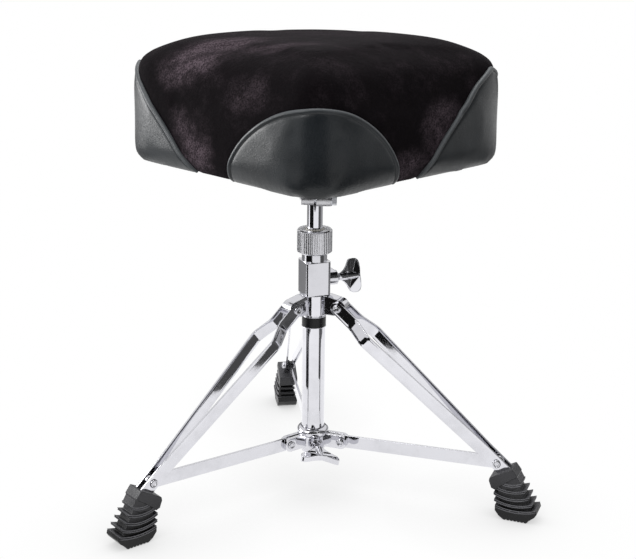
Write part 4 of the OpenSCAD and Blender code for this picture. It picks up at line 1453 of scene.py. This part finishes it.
# The boot's top block, its neck and its core in the same plane
BLOCK = ((259.4, 66.6), (248.0, 60.6), (237.5, 54.3), (232.4, 51.0), (232.0, 47.0), (235.2, 38.4),
         (240.6, 36.4), (244.6, 41.0), (251.2, 46.8), (264.0, 56.4), (266.8, 57.2))
NECK = ((257, 62), (240, 50), (243, 38), (262, 40), (271.6, 47.6), (265.6, 57.6))
CORE = ((245, 43), (243.4, 35.4), (244.6, 27.6), (245.4, 19.4), (246, 9), (262, 6), (284.4, 13),
        (281.2, 21.5), (277, 30), (272.4, 38), (268.6, 46), (262, 52), (252, 50))


# The sole: its heel, the first tooth's place, the teeth's pitch and shape, and its toe and upper side
HEEL = ((241.2, 16.4), (241.4, 10.6), (246.5, 4.2))
TEETH = 7
TOOTH_START = 252.5
TOOTH_PITCH = 4.2
TOOTH = ((0, 0.2), (2.6, 0.2), (3.0, 1.3), (3.8, 1.3))
TOE = ((282.8, 3.6), (289.4, 9.2), (292.2, 13.6), (291.2, 16.8), (279, 13.8), (266, 12.4), (252, 13.2))

# Widths across the boot, in millimetres
BLOCK_W = 25.6
NECK_W = 22.4
CORE_W = 21.2
SOLE_W = 27.6

# A rib in millimetres: its thickness and how far its rims stand out sideways, the rims' thickness and
# distance from its middle, and the share of the thickness at its tips and what is added away from them
RIB_T = 2.8
RIM_OUT = 2.2
RIM_T = 1.1
RIM_OFFSET = 1.15
TIP_SHARE = 0.55
ADDED_SHARE = 0.45
RIB_STEPS = 14

# The boot's edge radius and mesh step, and how far out of the ribs counts as all rim, which the rubber lightens as a
# painted highlight
BOOT_EDGE = 0.9 * MM
BOOT_VOXEL = 0.48 * MM
RIM_HIGHLIGHT_RISE = 0.9 * MM


def slab(name, points, width):
    """A plate in the leg's plane from points and a width in millimetres."""
    return prism(name, [(x * MM, z * MM) for x, z in points], width * MM)


def rib(inner, outer, sag, thick, width):
    """A curved rib plate that sags between its two tips and is thinner towards them."""
    upper, lower = [], []
    for i in range(RIB_STEPS + 1):
        t = i / RIB_STEPS
        spot = inner.lerp(outer, t) - Vector((0, 4 * sag * t * (1 - t)))
        half = thick / 2 * (TIP_SHARE + ADDED_SHARE * min(1, 8 * min(t, 1 - t)))
        upper.append(spot + Vector((0, half)))
        lower.append(spot - Vector((0, half)))
    return slab("rib", lower + upper[::-1], width)


def make_boot():
    """One rubber boot in the leg's plane, x outward and z up, moulded in one piece."""
    block = slab("block", BLOCK, BLOCK_W)
    modify(block, "BEVEL", width=BOOT_EDGE, segments=2, limit_method="ANGLE", angle_limit=SHARP)
    teeth = [(TOOTH_START + TOOTH_PITCH * i + x, z) for i in range(TEETH) for x, z in TOOTH]
    pieces = [block, slab("neck", NECK, NECK_W), slab("core", CORE, CORE_W),
              slab("sole", (*HEEL, *teeth, *TOE), SOLE_W)]
    rims = []
    for inner, outer, sag, width in RIBS:
        inner, outer = Vector(inner), Vector(outer)
        pieces.append(rib(inner, outer, sag, RIB_T, width - RIM_OUT))
        for rise in (-RIM_OFFSET, RIM_OFFSET):
            lift = Vector((0, rise))
            rims.append(rib(inner + lift, outer + lift, sag, RIM_T, width))
    solid = joined("solid", pieces)
    inner = tree_of(solid)
    boot = joined("boot", [solid] + rims)
    modify(boot, "REMESH", mode="VOXEL", voxel_size=BOOT_VOXEL)
    modify(boot, "SMOOTH", factor=0.5, iterations=1)
    # painted highlight: how far each point stands out of the solid, which the rubber lightens on the ribs' rims
    mark(boot, "rim", [min(inner.find_nearest(v.co)[3] / RIM_HIGHLIGHT_RISE, 1.0) for v in boot.data.vertices])
    return smooth(boot, 80)


class THRONE_OT_boots(bpy.types.Operator):
    """Makes the three ribbed rubber boots"""

    bl_idname = "throne.boots"
    bl_label = "Boots"

    def execute(self, context):
        model = make_boot()
        for leg in LEGS:
            boot = twin(model, "rubber_boot_" + leg)
            settle(boot, leg_turn(leg))
            dress(boot, "boot_rubber", "leg_" + leg, "boot_rubber", "boot_" + leg)
        bpy.data.objects.remove(model)
        return {"FINISHED"}


# ---- Finishes on the CAD nodes ----

# Nodes that look unlike the rest of their slot
OWN_FINISH = {"clamp_nut": "nut_satin", "lock_block": "block_chrome"}


class THRONE_OT_finishes(bpy.types.Operator):
    """Gives every CAD node that shows its finish"""

    bl_idname = "throne.finishes"
    bl_label = "Finishes"

    def execute(self, context):
        make_finishes()
        slots = {part["node"]: part["material_slot"] for part in frame["record"]["subparts"]}
        for name, node in frame["nodes"].items():
            finish = FINISHES[OWN_FINISH.get(name) or slots.get(name, "tube_chrome")]
            if not node.material_slots:
                node.data.materials.append(finish)
            for holder in node.material_slots:
                holder.material = finish
        return {"FINISHED"}


# ---- What the script writes ----

# How many vertices of a piece are tried for what shows, and how many for an extreme of the whole object
SHOWN_MOST = 1500
EXTREME_MOST = 400

# How far from its pivot a rivet's own vertices lie
RIVET_REACH = 20 * MM
SLIDER_RIVET_REACH = 15 * MM


class Sight:
    """What of the finished pieces shows to the camera, in the photograph's frame."""

    def __init__(self):
        self.eye = bpy.context.scene.camera.matrix_world.translation.copy()
        self.pieces = {}
        for obj in bpy.data.objects:
            if obj.type == "MESH" and not obj.hide_render and not obj.name.startswith(("card_", "floor")):
                self.pieces[obj.name] = obj
        self.trees = [tree_of(obj) for obj in self.pieces.values() if obj.data.polygons]

    def clear(self, place):
        """True where nothing stands between the camera and the place."""
        aim = place - self.eye
        reach = aim.length - 0.4 * MM
        return all(tree.ray_cast(self.eye, aim.normalized(), reach)[0] is None for tree in self.trees)

    def shown(self, name, near=None, reach=1.0):
        """Image points of the vertices of a piece that show, within reach of a place."""
        obj = self.pieces.get(name)
        if obj is None:
            return []
        places = [v.co for v in obj.data.vertices if near is None or (v.co - near).length < reach]
        step = max(1, len(places) // SHOWN_MOST)
        return [in_image(place) for place in places[::step] if self.clear(place)]

    def extreme(self, axis, sign):
        """The outermost shown vertex of the whole object along an image axis."""
        rows = []
        for obj in self.pieces.values():
            rows += [(sign * in_image(v.co)[axis], v.co) for v in obj.data.vertices]
        rows.sort(key=lambda row: -row[0])
        for value, place in rows[:EXTREME_MOST]:
            if self.clear(place):
                return sign * value
        return sign * rows[0][0]


def middle(points):
    if not points:
        return None, None
    xs, ys = [p[0] for p in points], [p[1] for p in points]
    return (min(xs) + max(xs)) / 2, (min(ys) + max(ys)) / 2


def nearest_line(sight, name, point):
    """The place nearest to an image point on a panel's seam edge."""
    obj = sight.pieces[name]
    edge = obj.data.attributes["edge"].data
    spots = [in_image(v.co) for v, share in zip(obj.data.vertices, edge) if share.value > 0.99]
    return min(spots, key=lambda spot: math.dist(spot, point))


def write_points():
    """Writes how far each thing shows from its image point in x and y."""
    stand = settings()[1]
    sight = Sight()
    wanted = dict(IMAGE_POINTS)
    found = {
        "left_edge": (sight.extreme(0, -1), None),
        "right_edge": (sight.extreme(0, 1), None),
        "top_edge": (None, sight.extreme(1, -1)),
        "bottom_edge": (None, sight.extreme(1, 1)),
        "band": middle(sight.shown("plain_band")),
        "height_wing": middle(sight.shown("wing_bolt_height")),
    }
    front = sight.shown("panel_front")
    top = min(spot[1] for spot in front)
    found["front_panel_top"] = (middle([spot for spot in front if spot[1] < top + 1])[0], top)
    found["front_panel_left_foot"] = max(front, key=lambda spot: spot[1] - spot[0])
    found["front_panel_right_foot"] = max(front, key=lambda spot: spot[1] + spot[0])
    for side in ("left", "right"):
        found[side + "_panel_seam"] = nearest_line(sight, "panel_" + side, wanted[side + "_panel_seam"])
    nut = sight.shown("clamp_nut")
    found["nut_top"] = (middle(nut)[0], min(spot[1] for spot in nut))
    for leg in ("left", "right"):
        hub = leg_matrix(leg) @ Vector((0, 0, 0))
        foot = leg_matrix(leg) @ Vector((leg_length(), 0, 0))
        slide = leg_turn(leg) @ Vector((stand.slider_pivot_r, 0, stand.slider_pivot_z))
        found["hub_rivet_" + leg] = middle(sight.shown("rivets_" + leg, hub, RIVET_REACH))
        found["foot_rivet_" + leg] = middle(sight.shown("rivets_" + leg, foot, RIVET_REACH))
        found["slider_rivet_" + leg] = middle(sight.shown("rivets_slider", slide, SLIDER_RIVET_REACH))
    report = {}
    for name, (x, y) in found.items():
        want = wanted[name]
        report[name] = [None if x is None else round(x - want[0], 2), None if y is None else round(y - want[1], 2)]
    with open("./points.json", "w") as out:
        json.dump(report, out, indent=1)


class THRONE_PT_panel(bpy.types.Panel):
    """Lists the throne's operators"""

    bl_label = "Drum throne"
    bl_space_type = "VIEW_3D"
    bl_region_type = "UI"
    bl_category = "Throne"

    def draw(self, context):
        for operator in OPERATORS:
            self.layout.operator(operator.bl_idname)


OPERATORS = (THRONE_OT_stage, THRONE_OT_finishes, THRONE_OT_cushion, THRONE_OT_strips, THRONE_OT_rivets,
             THRONE_OT_wing_bolts, THRONE_OT_band_rims, THRONE_OT_boots)
GROUPS = {"throne_seat": ThroneSeat, "throne_stand": ThroneStand, "throne_studio": ThroneStudio}


def register():
    for group in GROUPS.values():
        bpy.utils.register_class(group)
    for name, group in GROUPS.items():
        setattr(bpy.types.Scene, name, PointerProperty(type=group))
    for item in (*OPERATORS, THRONE_PT_panel):
        bpy.utils.register_class(item)


def unregister():
    for item in (THRONE_PT_panel, *reversed(OPERATORS)):
        bpy.utils.unregister_class(item)
    for name, group in GROUPS.items():
        delattr(bpy.types.Scene, name)
        bpy.utils.unregister_class(group)


def main():
    register()
    bpy.ops.throne.stage()
    bpy.ops.throne.finishes()
    bpy.ops.throne.cushion()
    bpy.ops.throne.strips()
    bpy.ops.throne.rivets()
    bpy.ops.throne.wing_bolts()
    bpy.ops.throne.band_rims()
    bpy.ops.throne.boots()
    with open("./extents.json", "w") as out:
        json.dump({"cad": CAD_BOX, "visual": [list(corner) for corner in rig.bounds()]}, out)
    try:
        write_points()
    except (ValueError, KeyError, TypeError) as fault:
        print("points.json not written:", fault)


if __name__ == "__main__":
    main()
